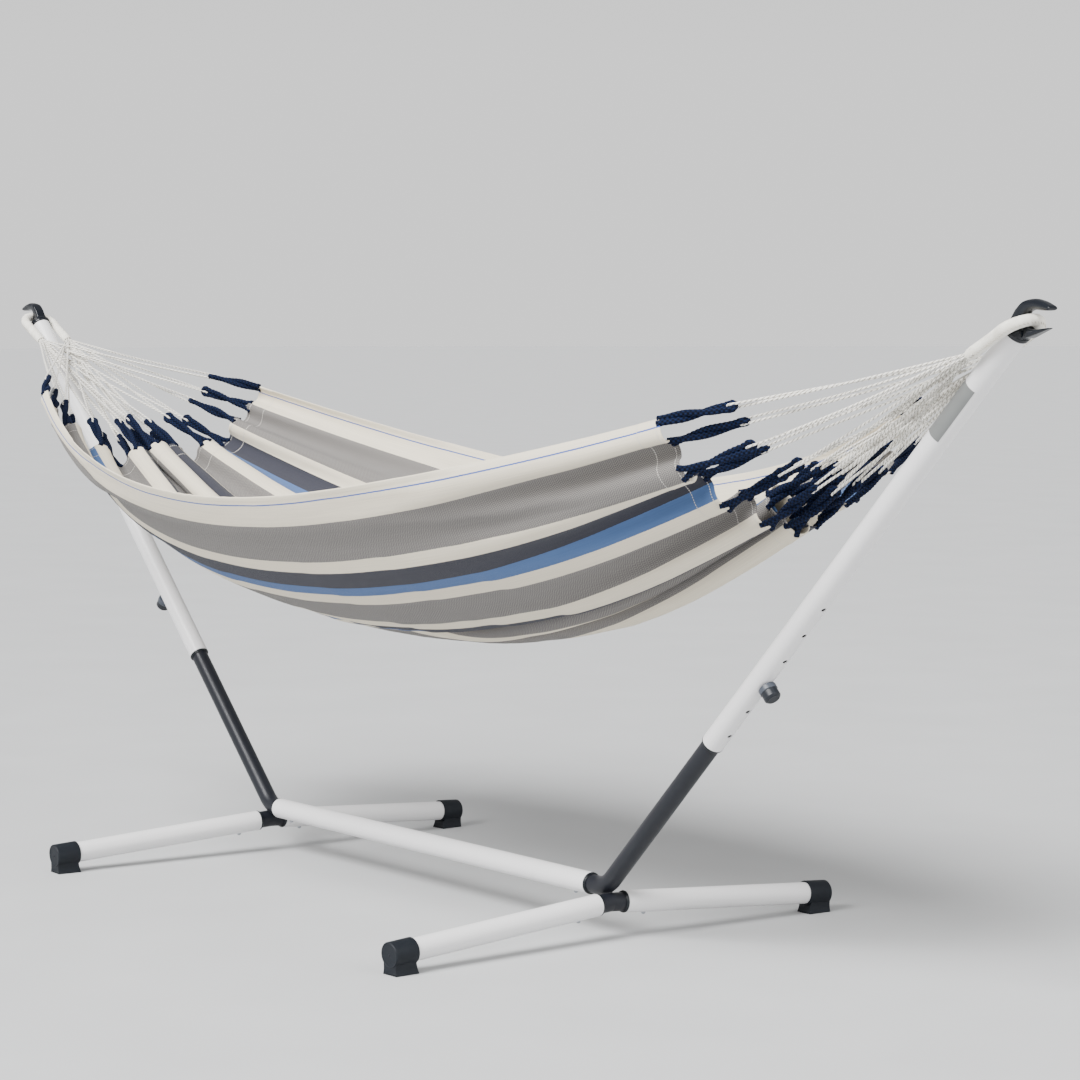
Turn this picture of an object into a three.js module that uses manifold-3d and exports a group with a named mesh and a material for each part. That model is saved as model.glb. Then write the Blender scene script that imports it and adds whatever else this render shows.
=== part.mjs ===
// A hammock hung on a free-standing tubular steel stand.
// Millimetres, +Z up. The origin is on the floor under the middle of the stand, X runs along the beam.
import * as THREE from "three";
import { mergeVertices } from "three/addons/utils/BufferGeometryUtils.js";
import Module from "manifold-3d";

const wasm = await Module();
wasm.setup();

// Tubes: white outer tubes slide over dark inner tubes, with a plastic bushing at each end of the outer.
const outerRadius = 20;
const outerWall = 1.5;
const innerRadius = 17;
const innerWall = 2;
const gap = 0.3; // between pieces that rest on each other
const roundSegments = 24;
const smallSegments = 12;

// Stand layout
const hubDistance = 1158; // between the two cross tubes
const capAxisHeight = 36; // foot tube axis over the floor, at the middle of its cap
const footRun = 467; // sideways, from the hub to the middle of the foot cap
const footDrop = 31; // how much lower the foot tube is at its cap than at the hub
const footToe = 23; // how far the foot tube leans outwards over its run
const elbowRise = 26; // beam axis over the cross tube axis
const elbowInset = 9; // the bend's corner lies this far inboard of the cross tube
const beamEndRight = 50; // beam bushing's face to the cross tube axis
const beamEndLeft = 34;
const stubLength = 90; // of the dark tube inside the beam
const armAngle = THREE.MathUtils.degToRad(44.62);
const bendRadius = 60;

// Upper arms, measured from the bend's corner along the arm
const armFoot = 411; // lower end of the white tube
const armTop = 1416;
const innerArmTop = 640; // where the dark tube ends inside the white one
const holePitch = 66.5;
const firstHole = 792; // the highest of the adjusting holes
const holeCount = 6;
const lockedHole = 3; // counted from the highest, from 0
const holeRadius = 4.5;

// Foot tube and its fittings, measured from the hub along the foot
const footStart = 25;
const footEnd = 488;
const crossReach = 115;
const footButtonAt = 75;
const beamButtonInset = 50; // from the beam bushing's face
const bushingFlange = 5;
const bushingSleeve = 25;
const capRadius = 23;
const capLength = 50;
const capWall = 5;
const padWidth = 38;
const padGrooves = 5;
const padTop = 12; // top of the pad's block under the foot tube's axis
const padGroovePitch = 6.8;
const padGrooveRadius = 2;

// Snap buttons and their leaf springs
const buttonRadius = 4;
const buttonCollarRadius = 6;
const buttonCollar = [11, 12.6]; // distances of its faces from the tube's axis
const buttonDome = [[21, buttonRadius], [22.6, 3.5], [23.9, 2.3], [24.6, 0]];
const leafWidth = 8;
const leafThickness = 0.8;

// Lock knob and its screw
const knobRadius = 16;
const knobHeight = 26;
const knobSkirt = 9; // the wide part next to the tube
const knobStep = 1.2;
const knobCrown = [[4, 1.2], [1.5, 2.5], [0, 5]]; // below the top, inside the skirt's radius
const screwRadius = 4;
const screwLength = 18;

// Hook and rope loop, in the upright plane of the arm, from the centre of the tube's upper end
const hookThickness = 22;
const hookCollarRadius = 22.5;
const seatX = 35; // middle of the rope where it lies in the hook
const seatZ = 21;
const ropeRadius = 10;
const loopHalfWidth = 34;
const loopLength = 115;
const plugDepth = 35; // of the hook's plug in the tube
const collarCone = [[7, 0], [9, 2], [17, 8.5]]; // past the tube's end, inside the collar's radius

// Hammock
const clothLength = 2200;
const cordRun = 640; // from the rope's middle in the hook to the hem
const navyRun = 130; // of the dark cord loops next to the hem
const clothHalfAngle = THREE.MathUtils.degToRad(56); // spread of each rim, about the line of the hooks
const clothThickness = 5;
const fanThickness = 5;

// Label and tag
const labelStart = 114; // below the upper end of the right arm's tube
const labelLength = 112;
const labelHalfAngle = THREE.MathUtils.degToRad(44);
const labelThickness = 0.4;
const tagLength = 26;
const tagReach = 20;
const tagThickness = 1.6;
const tagPlace = -0.95; // from the middle of the cloth, as a share of its half length

const hubX = hubDistance / 2;
const hubHeight = capAxisHeight + footDrop;
const footSlope = Math.atan(footDrop / footRun);
const footSplay = Math.atan(footToe / footRun);
const beamHeight = hubHeight + elbowRise;
const topX = hubX - elbowInset + armTop * Math.cos(armAngle);
const topZ = beamHeight + armTop * Math.sin(armAngle);
const hangX = topX + seatX;
const hangZ = topZ + seatZ;

const whiteEnamel = new THREE.MeshStandardMaterial({ color: 0xeceaea, roughness: 0.42, metalness: 0.0 });
const darkEnamel = new THREE.MeshStandardMaterial({ color: 0x30353c, roughness: 0.4, metalness: 0.2 });
const darkPlastic = new THREE.MeshStandardMaterial({ color: 0x252b31, roughness: 0.5, metalness: 0.0 });
const bareSteel = new THREE.MeshStandardMaterial({ color: 0xc9cdd0, roughness: 0.25, metalness: 1.0 });
const stripedCloth = new THREE.MeshStandardMaterial({ color: 0xa9a8a6, roughness: 0.9, metalness: 0.0 });
const creamCord = new THREE.MeshStandardMaterial({ color: 0xe6e0d2, roughness: 0.9, metalness: 0.0 });
const navyCord = new THREE.MeshStandardMaterial({ color: 0x1b2a4e, roughness: 0.85, metalness: 0.0 });
const greyLabel = new THREE.MeshStandardMaterial({ color: 0x6b6d6c, roughness: 0.5, metalness: 0.0 });
const blackTag = new THREE.MeshStandardMaterial({ color: 0x17181a, roughness: 0.8, metalness: 0.0 });

// A closed geometry as a solid, its corners merged by position.
function toSolid(geometry) {
  const bare = new THREE.BufferGeometry();
  const source = geometry.index ? geometry.toNonIndexed() : geometry;
  bare.setAttribute("position", source.getAttribute("position").clone());
  const merged = mergeVertices(bare, 1e-3);
  const vertProperties = merged.attributes.position.array;
  const triVerts = new Uint32Array(merged.index.array);
  return new wasm.Manifold(new wasm.Mesh({ numProp: 3, vertProperties, triVerts }));
}

function toGeometry(solid) {
  const { vertProperties, triVerts } = solid.getMesh();
  const geometry = new THREE.BufferGeometry();
  geometry.setAttribute("position", new THREE.BufferAttribute(vertProperties, 3));
  geometry.setIndex(new THREE.BufferAttribute(triVerts, 1));
  return geometry;
}

function cut(geometry, ...tools) {
  return toGeometry(tools.reduce((solid, tool) => solid.subtract(toSolid(tool)), toSolid(geometry)));
}

function join(geometry, ...others) {
  return toGeometry(others.reduce((solid, other) => solid.add(toSolid(other)), toSolid(geometry)));
}

// A body of revolution about the local X axis. The profile lists [distance along X, radius].
function turned(profile, segments = roundSegments) {
  const points = profile.map(([along, radius]) => new THREE.Vector2(radius, along));
  return new THREE.LatheGeometry(points, segments).rotateZ(-Math.PI / 2);
}

function rod(start, end, radius, segments = smallSegments) {
  const profile = [[start, 0], [start, radius], [end, radius], [end, 0]];
  return turned(profile, segments);
}

// A hollow tube with rings of corners at each of the stations along it.
function pipe(stations, outside, inside) {
  const outer = stations.map((at) => [at, outside]);
  const inner = stations.map((at) => [at, inside]).reverse();
  return turned([...outer, ...inner, outer[0]]);
}

// Moves every corner of a geometry: place takes and gives a THREE.Vector3.
function reshape(geometry, place) {
  const positions = geometry.getAttribute("position");
  const corner = new THREE.Vector3();
  for (let i = 0; i < positions.count; i += 1) {
    corner.fromBufferAttribute(positions, i);
    place(corner);
    positions.setXYZ(i, corner.x, corner.y, corner.z);
  }
  return geometry;
}

// Bends a straight piece lying along X upwards by the arm's angle. The corner of the bend is at x = 0.
function bendUp(geometry) {
  const tangentLength = bendRadius * Math.tan(armAngle / 2);
  const arcLength = bendRadius * armAngle;
  return reshape(geometry, (corner) => {
    const past = corner.x + tangentLength;
    const turn = THREE.MathUtils.clamp(past / bendRadius, 0, armAngle);
    const straight = Math.min(past, 0) + Math.max(past - arcLength, 0);
    const radius = bendRadius - corner.z;
    corner.x = -tangentLength + radius * Math.sin(turn) + straight * Math.cos(turn);
    corner.z = bendRadius - radius * Math.cos(turn) + straight * Math.sin(turn);
  });
}

function bendStations(start, end) {
  const bendSteps = 6;
  const from = -bendRadius * Math.tan(armAngle / 2);
  const step = (bendRadius * armAngle) / bendSteps;
  const bend = Array.from({ length: bendSteps + 1 }, (_, i) => from + i * step);
  return [start, ...bend, end];
}

// The bend is shorter than the two tangents it replaces.
const bendLoss = 2 * bendRadius * Math.tan(armAngle / 2) - bendRadius * armAngle;

// A flange with a sleeve that reaches back into the outer tube. Its outer face is at x = 0, the sleeve on +X.
function bushing() {
  const bore = innerRadius + gap;
  const sleeve = outerRadius - outerWall - gap;
  const reach = bushingFlange + gap + bushingSleeve;
  const lip = outerRadius + 0.2;
  const chamfer = 1;
  const profile = [[0, bore], [0, lip - chamfer], [chamfer, lip], [bushingFlange, lip]];
  profile.push([bushingFlange, sleeve], [reach, sleeve], [reach, bore], [0, bore]);
  return turned(profile);
}

// A hole across one wall of a tube, on the side that local -Z points to.
function drill(at) {
  return rod(innerRadius / 2, outerRadius + 5, holeRadius).rotateY(Math.PI / 2).translate(at, 0, 0);
}

function makeBeam(startX, endX) {
  const tube = pipe([startX, endX], outerRadius, outerRadius - outerWall);
  const buttonsAt = [startX - bushingFlange + beamButtonInset, endX + bushingFlange - beamButtonInset];
  return cut(tube, ...buttonsAt.map(drill));
}

function makeLowerArm(beamEnd) {
  const corner = hubX - elbowInset;
  const start = hubX - beamEnd - stubLength - corner;
  const lockAt = firstHole - lockedHole * holePitch - bendLoss;
  const buttonAt = hubX - beamEnd - beamButtonInset - corner;
  const tube = pipe(bendStations(start, innerArmTop - bendLoss), innerRadius, innerRadius - innerWall);
  return bendUp(cut(tube, drill(lockAt), drill(buttonAt)));
}

// Turns a piece that lies along X into the line of a foot, towards -Y or +Y.
function footTurn(side) {
  return new THREE.Euler(0, footSlope, side * (Math.PI / 2 - footSplay), "ZYX");
}

// Both halves of the cross tube drop and lean outwards from the middle.
function lean(geometry) {
  return reshape(geometry, (corner) => {
    corner.x += Math.abs(corner.y) * Math.tan(footSplay);
    corner.z -= Math.abs(corner.y) * Math.tan(footSlope);
  });
}

// The bent tube is seated in the cross tube's upper wall.
function makeCrossTube() {
  const saddleReach = 60;
  const reach = crossReach * Math.cos(footSlope);
  const tube = pipe([-reach, 0, reach], innerRadius, innerRadius - innerWall).rotateZ(Math.PI / 2);
  const bar = bendStations(-saddleReach, saddleReach).map((at) => [at, innerRadius + gap]);
  const saddle = bendUp(turned([[-saddleReach, 0], ...bar, [saddleReach, 0]]));
  saddle.translate(-elbowInset, 0, elbowRise);
  const buttonHoles = [-1, 1].map((side) => {
    return drill(footButtonAt).applyMatrix4(new THREE.Matrix4().makeRotationFromEuler(footTurn(side)));
  });
  return cut(lean(tube), saddle, ...buttonHoles);
}

function makeFootTube() {
  const start = footStart + bushingFlange + gap;
  return cut(pipe([start, footEnd], outerRadius, outerRadius - outerWall), drill(footButtonAt));
}

// Height of the floor in the foot tube's own frame, which slopes.
function floorUnder(along) {
  return (along * Math.sin(footSlope) - hubHeight) / Math.cos(footSlope);
}

function makeFootCap() {
  const end = footEnd + gap + capWall;
  const start = end - capLength;
  const chamfer = 2;
  const crown = [[end - chamfer, capRadius], [end, capRadius - chamfer], [end, 0]];
  const outline = new THREE.Shape();
  outline.moveTo(start + 1, floorUnder(start + 1));
  outline.lineTo(end, floorUnder(end));
  outline.lineTo(end - 1, -padTop);
  outline.lineTo(start + 5, -padTop);
  outline.closePath();
  const pad = new THREE.ExtrudeGeometry(outline, { depth: padWidth, bevelEnabled: false });
  pad.translate(0, 0, -padWidth / 2).rotateX(Math.PI / 2);
  const grooves = Array.from({ length: padGrooves }, (_, i) => {
    const across = (i - (padGrooves - 1) / 2) * padGroovePitch;
    const groove = rod(start - 20, end + 20, padGrooveRadius, 8);
    return groove.rotateY(-footSlope).translate(0, across, floorUnder(0));
  });
  const bore = rod(start - 10, footEnd + gap, outerRadius + gap, roundSegments);
  return cut(join(turned([[start, 0], [start, capRadius], ...crown]), pad), bore, ...grooves);
}

// A domed pin that points to local -Z, with a collar that keeps it inside the inner tube.
function makeSnapButton() {
  const [inner, outer] = buttonCollar;
  const collar = [[inner, 0], [inner, buttonCollarRadius], [outer, buttonCollarRadius]];
  return turned([...collar, [outer, buttonRadius], ...buttonDome], smallSegments).rotateY(Math.PI / 2);
}

// A bent leaf inside the inner tube, which pushes the button out.
function makeSnapSpring() {
  const top = 12.5;
  const tip = -3.2;
  const outside = [[-14, top], [34, top], [36.5, 10.5], [34, 8.2], [-6, tip]];
  const inside = [[-6, tip + leafThickness], [34, 9.1], [35.6, 10.5]];
  inside.push([33.6, top - leafThickness], [-14, top - leafThickness]);
  const outline = new THREE.Shape([...outside, ...inside].map(([x, z]) => new THREE.Vector2(x, z)));
  const leaf = new THREE.ExtrudeGeometry(outline, { depth: leafWidth, bevelEnabled: false });
  return leaf.translate(0, 0, -leafWidth / 2).rotateX(Math.PI / 2);
}

function makeUpperArm() {
  const start = armFoot + bushingFlange + gap;
  const holes = Array.from({ length: holeCount }, (_, i) => drill(firstHole - i * holePitch));
  return cut(pipe([start, armTop], outerRadius, outerRadius - outerWall), ...holes);
}

function makeLockScrew() {
  const tip = innerRadius + gap;
  return rod(tip, tip + screwLength, screwRadius).rotateY(Math.PI / 2);
}

function makeLockKnob() {
  const foot = outerRadius + 0.8;
  const top = foot + knobHeight;
  const bore = screwRadius + gap;
  const boreEnd = innerRadius + gap + screwLength + gap;
  const skirt = [[foot, bore], [foot, knobRadius], [foot + knobSkirt, knobRadius]];
  skirt.push([foot + knobSkirt + 1, knobRadius - knobStep]);
  const crown = knobCrown.map(([below, inside]) => [top - below, knobRadius - inside]);
  const inside = [[top, 0], [boreEnd, 0], [boreEnd, bore], [foot, bore]];
  return turned([...skirt, ...crown, ...inside]).rotateY(Math.PI / 2);
}

// Side view of the hook, from the centre of the tube's upper end.
function hookOutline() {
  const outline = new THREE.Shape();
  outline.moveTo(-8, 16);
  outline.lineTo(7, 37);
  outline.splineThru([[24, 50], [44, 53], [62, 49], [75, 43]].map(([x, z]) => new THREE.Vector2(x, z)));
  outline.quadraticCurveTo(81, 37, 73, 34.2);
  outline.lineTo(58, 34.6);
  outline.absellipse(44, 20.6, 22.5, 15.4, Math.PI * 0.36, Math.PI * 1.42, false);
  outline.lineTo(72, 9);
  outline.lineTo(31, -6.5);
  outline.lineTo(17, -8.5);
  outline.closePath();
  return outline;
}

function makeHook() {
  const options = { depth: hookThickness, bevelEnabled: false, curveSegments: 8 };
  const plate = new THREE.ExtrudeGeometry(hookOutline(), options);
  plate.translate(0, 0, -hookThickness / 2).rotateX(Math.PI / 2).rotateY(armAngle);
  const plug = outerRadius - outerWall - gap;
  const cone = collarCone.map(([along, inside]) => [along, hookCollarRadius - inside]);
  const profile = [[-plugDepth, 0], [-plugDepth, plug], [gap, plug], [gap, hookCollarRadius], ...cone];
  profile.push([cone.at(-1)[0], 0]);
  return join(turned(profile), plate).translate(armTop, 0, 0);
}

function makeLabel() {
  const start = Math.PI - labelHalfAngle;
  const end = Math.PI + labelHalfAngle;
  const inside = outerRadius + gap;
  const outline = new THREE.Shape();
  outline.absarc(0, 0, inside + labelThickness, start, end, false);
  outline.absarc(0, 0, inside, end, start, true);
  const options = { depth: labelLength, bevelEnabled: false, curveSegments: 8 };
  const label = new THREE.ExtrudeGeometry(outline, options);
  return label.rotateX(Math.PI / 2).rotateZ(Math.PI / 2).translate(armTop - labelStart, 0, 0);
}

// The angle below the level at which the cords leave the hook. The cloth hangs in a shallow curve that
// starts at this angle and whose length is the cloth's.
function hangAngle() {
  let low = 0.1;
  let high = 1.2;
  for (let i = 0; i < 50; i += 1) {
    const angle = (low + high) / 2;
    const half = hangX - cordRun * Math.cos(angle);
    const slope = Math.tan(angle);
    const length = half * (1 + slope ** 2 / 6 - slope ** 4 / 40);
    if (length > clothLength / 2) {
      high = angle;
    } else {
      low = angle;
    }
  }
  return low;
}

const cordAngle = hangAngle();
const hemX = hangX - cordRun * Math.cos(cordAngle);
const hemDrop = cordRun * Math.sin(cordAngle);
const bellyDrop = hemDrop + (hemX * Math.tan(cordAngle)) / 2;

// Each lengthwise thread of the cloth hangs in a plane through the line between the hooks.
function clothPoint(along, turn, lift) {
  const drop = bellyDrop - (bellyDrop - hemDrop) * along ** 2 - lift;
  return new THREE.Vector3(along * hemX, drop * Math.sin(turn), hangZ - drop * Math.cos(turn));
}

function makeCloth() {
  const sheet = new THREE.BoxGeometry(2, 2, clothThickness, 20, 12, 1);
  return reshape(sheet, (corner) => corner.copy(clothPoint(corner.x, corner.y * clothHalfAngle, corner.z)));
}

// A fan of cords between the rope loop and the hem of the cloth, from one share of its length to another.
function makeFan(from, to) {
  const loopEndX = hangX - loopLength * Math.cos(cordAngle);
  const loopEndZ = hangZ - loopLength * Math.sin(cordAngle);
  const fan = new THREE.BoxGeometry(1, 2, fanThickness, 1, 12, 1);
  return reshape(fan, (corner) => {
    const share = to + (from - to) * (corner.x + 0.5);
    const turn = corner.y * clothHalfAngle;
    const hem = clothPoint(1, turn, 0);
    const lift = corner.z;
    corner.set(loopEndX, corner.y * loopHalfWidth, loopEndZ).lerp(hem, share);
    corner.y -= lift * Math.sin(turn) * share;
    corner.z += lift * Math.cos(turn * share);
  });
}

// The wrapped rope passes through the hook and straddles the arm.
function makeRopeLoop() {
  const half = loopHalfWidth;
  const route = new THREE.CurvePath();
  const at = (reach, y) => {
    const x = hangX - reach * Math.cos(cordAngle);
    return new THREE.Vector3(x, y, hangZ - reach * Math.sin(cordAngle));
  };
  const round = 0.5523 * half;
  route.add(new THREE.LineCurve3(at(loopLength - 1, -half), at(half, -half)));
  route.add(new THREE.CubicBezierCurve3(at(half, -half), at(half - round, -half), at(0, -round), at(0, 0)));
  route.add(new THREE.CubicBezierCurve3(at(0, 0), at(0, round), at(half - round, half), at(half, half)));
  route.add(new THREE.LineCurve3(at(half, half), at(loopLength - 1, half)));
  const section = new THREE.Shape().absarc(0, 0, ropeRadius, 0, 2 * Math.PI, false);
  const options = { steps: 22, curveSegments: 4, extrudePath: route, bevelEnabled: false };
  return new THREE.ExtrudeGeometry(section, options);
}

// A small blank flag sewn into the rim near one end.
function makeTag() {
  const rimDrop = (bellyDrop + hemDrop) / 2;
  const tag = new THREE.BoxGeometry(tagLength / hemX, tagReach / rimDrop, tagThickness);
  tag.translate(tagPlace, -clothHalfAngle - (tagReach / 2 + 2 * gap) / rimDrop, 0);
  return reshape(tag, (corner) => corner.copy(clothPoint(corner.x, corner.y, corner.z)));
}

const stand = new THREE.Group();

function add(parent, name, geometry, material) {
  const mesh = new THREE.Mesh(geometry, material);
  mesh.name = name;
  parent.add(mesh);
  return mesh;
}

function frame(parent, x, y, z) {
  const group = new THREE.Group();
  group.position.set(x, y, z);
  parent.add(group);
  return group;
}

function addSnap(parent, name, at) {
  add(parent, `snap_button_${name}`, makeSnapButton(), bareSteel).position.x = at;
  add(parent, `snap_spring_${name}`, makeSnapSpring(), bareSteel).position.x = at;
}

function addFoot(hub, name, side) {
  const foot = frame(hub, 0, 0, 0);
  foot.rotation.copy(footTurn(side));
  add(foot, `foot_tube_${name}`, makeFootTube(), whiteEnamel);
  add(foot, `foot_bushing_${name}`, bushing(), darkPlastic).position.x = footStart;
  add(foot, `foot_cap_${name}`, makeFootCap(), darkPlastic);
  addSnap(foot, `foot_${name}`, footButtonAt);
}

function addArm(hub, name) {
  const arm = frame(hub, -elbowInset, 0, elbowRise);
  arm.rotation.y = -armAngle;
  const lockAt = firstHole - lockedHole * holePitch;
  add(arm, `upper_arm_${name}`, makeUpperArm(), whiteEnamel);
  add(arm, `arm_bushing_${name}`, bushing(), darkPlastic).position.x = armFoot;
  add(arm, `hook_${name}`, makeHook(), darkPlastic);
  add(arm, `lock_screw_${name}`, makeLockScrew(), bareSteel).position.x = lockAt;
  add(arm, `lock_knob_${name}`, makeLockKnob(), darkPlastic).position.x = lockAt;
  return arm;
}

// One end of the stand. Turned half a turn about Z, the same pieces make the other end.
function addEnd(name, turnAboutZ, beamEnd) {
  const end = frame(stand, 0, 0, 0);
  end.rotation.z = turnAboutZ;
  const facing = Math.cos(turnAboutZ);
  const hub = frame(end, hubX, 0, hubHeight);
  add(hub, `cross_tube_${name}`, makeCrossTube(), darkEnamel);
  addFoot(hub, `${name}_front`, -facing);
  addFoot(hub, `${name}_back`, facing);
  const elbow = frame(hub, -elbowInset, 0, elbowRise);
  add(elbow, `lower_arm_${name}`, makeLowerArm(beamEnd), darkEnamel);
  const bushingInBeam = add(end, `beam_bushing_${name}`, bushing(), darkPlastic);
  bushingInBeam.position.set(hubX - beamEnd, 0, beamHeight);
  bushingInBeam.rotation.z = Math.PI;
  addSnap(frame(end, 0, 0, beamHeight), `beam_${name}`, hubX - beamEnd - beamButtonInset);
  const arm = addArm(hub, name);
  add(end, `rope_loop_${name}`, makeRopeLoop(), creamCord);
  const navyStart = 1 - navyRun / (cordRun - loopLength);
  const seam = gap / cordRun;
  add(end, `cream_cords_${name}`, makeFan(2 * seam, navyStart - seam), creamCord);
  add(end, `navy_cords_${name}`, makeFan(navyStart, 1 - 2 * seam), navyCord);
  return arm;
}

const rightArm = addEnd("right", 0, beamEndRight);
addEnd("left", Math.PI, beamEndLeft);
add(rightArm, "arm_label", makeLabel(), greyLabel);

const beamStartX = -(hubX - beamEndLeft - bushingFlange - gap);
const beamEndX = hubX - beamEndRight - bushingFlange - gap;
add(frame(stand, 0, 0, beamHeight), "beam", makeBeam(beamStartX, beamEndX), whiteEnamel);

add(stand, "hammock_cloth", makeCloth(), stripedCloth);
add(stand, "side_tag", makeTag(), blackTag);

export default stand;
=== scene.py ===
import math

import bmesh
import bpy
import numpy as np
from mathutils import Matrix, Vector


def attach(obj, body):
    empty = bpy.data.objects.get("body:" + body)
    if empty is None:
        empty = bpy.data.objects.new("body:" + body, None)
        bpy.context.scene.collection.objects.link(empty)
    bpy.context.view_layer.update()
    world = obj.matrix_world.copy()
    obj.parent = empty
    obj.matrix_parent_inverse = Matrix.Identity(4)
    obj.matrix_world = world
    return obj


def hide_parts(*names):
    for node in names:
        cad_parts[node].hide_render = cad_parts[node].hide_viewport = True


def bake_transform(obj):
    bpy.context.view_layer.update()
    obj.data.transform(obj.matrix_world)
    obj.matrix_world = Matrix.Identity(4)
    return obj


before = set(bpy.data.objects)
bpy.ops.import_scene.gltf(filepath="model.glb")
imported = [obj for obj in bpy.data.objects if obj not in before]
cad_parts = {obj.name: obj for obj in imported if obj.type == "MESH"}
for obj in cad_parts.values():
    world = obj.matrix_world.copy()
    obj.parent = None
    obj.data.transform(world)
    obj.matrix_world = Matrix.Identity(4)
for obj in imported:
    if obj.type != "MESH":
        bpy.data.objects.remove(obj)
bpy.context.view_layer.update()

ENDS = ("right", "left")
FLOOR_HALF = 80

# Stand, in metres
TUBE_RADIUS = 0.020
TUBE_WALL = 0.0015
INNER_RADIUS = 0.017
INNER_WALL = 0.002
GAP = 0.0003
HUB_X = 0.579
HUB_HEIGHT = 0.067
FOOT_RUN = 0.467
FOOT_DROP = 0.031
FOOT_TOE = 0.023
FOOT_SLOPE = math.atan(FOOT_DROP / FOOT_RUN)
FOOT_SPLAY = math.atan(FOOT_TOE / FOOT_RUN)
BEAM_HEIGHT = HUB_HEIGHT + 0.026
ELBOW_INSET = 0.009
BEAM_END = {"right": 0.050, "left": 0.034}
STUB_LENGTH = 0.090
ARM_ANGLE = math.radians(44.62)
BEND_RADIUS = 0.060
BEND_TANGENT = BEND_RADIUS * math.tan(ARM_ANGLE / 2)
ARM_FOOT = 0.411
ARM_TOP = 1.416
INNER_ARM_TOP = 0.640
FIRST_HOLE = 0.792
HOLE_PITCH = 0.0665
HOLE_COUNT = 6
LOCKED_HOLE = 3
HOLE_RADIUS = 0.0045
BUTTON_INSET = 0.050
BUTTON_RADIUS = 0.004
FLANGE = 0.005
SLEEVE = 0.025
CROSS_REACH = 0.115
FOOT_START = 0.025
FOOT_END = 0.488
FOOT_BUTTON_AT = 0.075

# Foot cap
CAP_RADIUS = 0.023
CAP_LENGTH = 0.050
CAP_WALL = 0.005
PAD_WIDTH = 0.038
PAD_GROOVES = 5
GROOVE_PITCH = 0.0068
GROOVE_RADIUS = 0.0020
PAD_HEIGHT = 0.022

# Lock knob, its screw and the hook
KNOB_RADIUS = 0.016
KNOB_HEIGHT = 0.026
SCREW_RADIUS = 0.004
SCREW_LENGTH = 0.018
THREAD_PITCH = 0.0015
THREAD_DEPTH = 0.0009
HOOK_THICKNESS = 0.022
COLLAR_RADIUS = 0.0225
SEAT_X = 0.035
SEAT_Z = 0.021

# Rope loop and cords
ROPE_RADIUS = 0.010
LOOP_HALF_WIDTH = 0.034
LOOP_LENGTH = 0.115
QUARTER_PULL = 0.5523  # reach of a cubic curve's handles in a quarter of a circle, in radii
SLEEVE_SIDES = 36
STITCH_STEP = 0.0056
CORD_RUN = 0.640
NAVY_RUN = 0.130
NAVY_RADIUS = 0.0052
STRAND_RADIUS = 0.0021
BUNDLE_RADIUS = 0.0062
BRAID_COUNT = 4
BRAID_PITCH = 0.0088
CORD_COUNT = 20
# Length of the pale cords' stretch beside the rope loop, which is a piece of its own
ROOT_RUN = {"right": 0.200, "left": 0.110}

# Cloth
CLOTH_LENGTH = 2.200
CLOTH_WIDTH = 1.400
CLOTH_THICKNESS = 0.0016
HEM_WIDTH = 0.046
SELVEDGE = 0.010
STITCH_ROWS = (0.008, 0.0445)
HALF_OPENING = math.radians(58)

# Label, measured down from the top of the right arm's tube
LABEL_START = 0.114
LABEL_LENGTH = 0.112
LABEL_HALF_ANGLE = math.radians(44)
LABEL_THICKNESS = 0.0004

TOP_X = HUB_X - ELBOW_INSET + ARM_TOP * math.cos(ARM_ANGLE)
TOP_Z = BEAM_HEIGHT + ARM_TOP * math.sin(ARM_ANGLE)
HANG = Vector((TOP_X + SEAT_X, 0, TOP_Z + SEAT_Z))


def hang_angle():
    """The angle below the level at which the cords leave the hook."""
    low, high = 0.1, 1.2
    for _ in range(50):
        angle = (low + high) / 2
        half = HANG.x - CORD_RUN * math.cos(angle)
        slope = math.tan(angle)
        if half * (1 + slope**2 / 6 - slope**4 / 40) > CLOTH_LENGTH / 2:
            high = angle
        else:
            low = angle
    return low


CORD_ANGLE = hang_angle()
HEM_X = HANG.x - CORD_RUN * math.cos(CORD_ANGLE)
HEM_DROP = CORD_RUN * math.sin(CORD_ANGLE)
BELLY_DROP = HEM_DROP + HEM_X * math.tan(CORD_ANGLE) / 2


# ---------------------------------------------------------------- camera, light, floor


def aimed(name, data, location, direction):
    """A camera or a light at this place that looks along the direction."""
    thing = bpy.data.objects.new(name, data)
    thing.location = location
    thing.rotation_mode = "QUATERNION"
    thing.rotation_quaternion = direction.to_track_quat("-Z", "Y")
    bpy.context.scene.collection.objects.link(thing)
    return thing


def make_camera():
    """The photo's camera, solved from the stand's straight tubes."""
    azimuth, elevation = math.radians(53.56), math.radians(4.18)
    forward = Vector((-math.sin(azimuth), math.cos(azimuth), -math.tan(elevation)))
    data = bpy.data.cameras.new("camera")
    data.sensor_width = 36
    data.lens = 104.5
    data.clip_end = 100
    bpy.context.scene.camera = aimed("camera", data, (4.968, -3.396, 1.122), forward)


def add_light(name, kind, location, target, power):
    data = bpy.data.lights.new(name, kind)
    data.energy = power
    aimed(name, data, location, Vector(target) - Vector(location))
    return data


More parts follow.
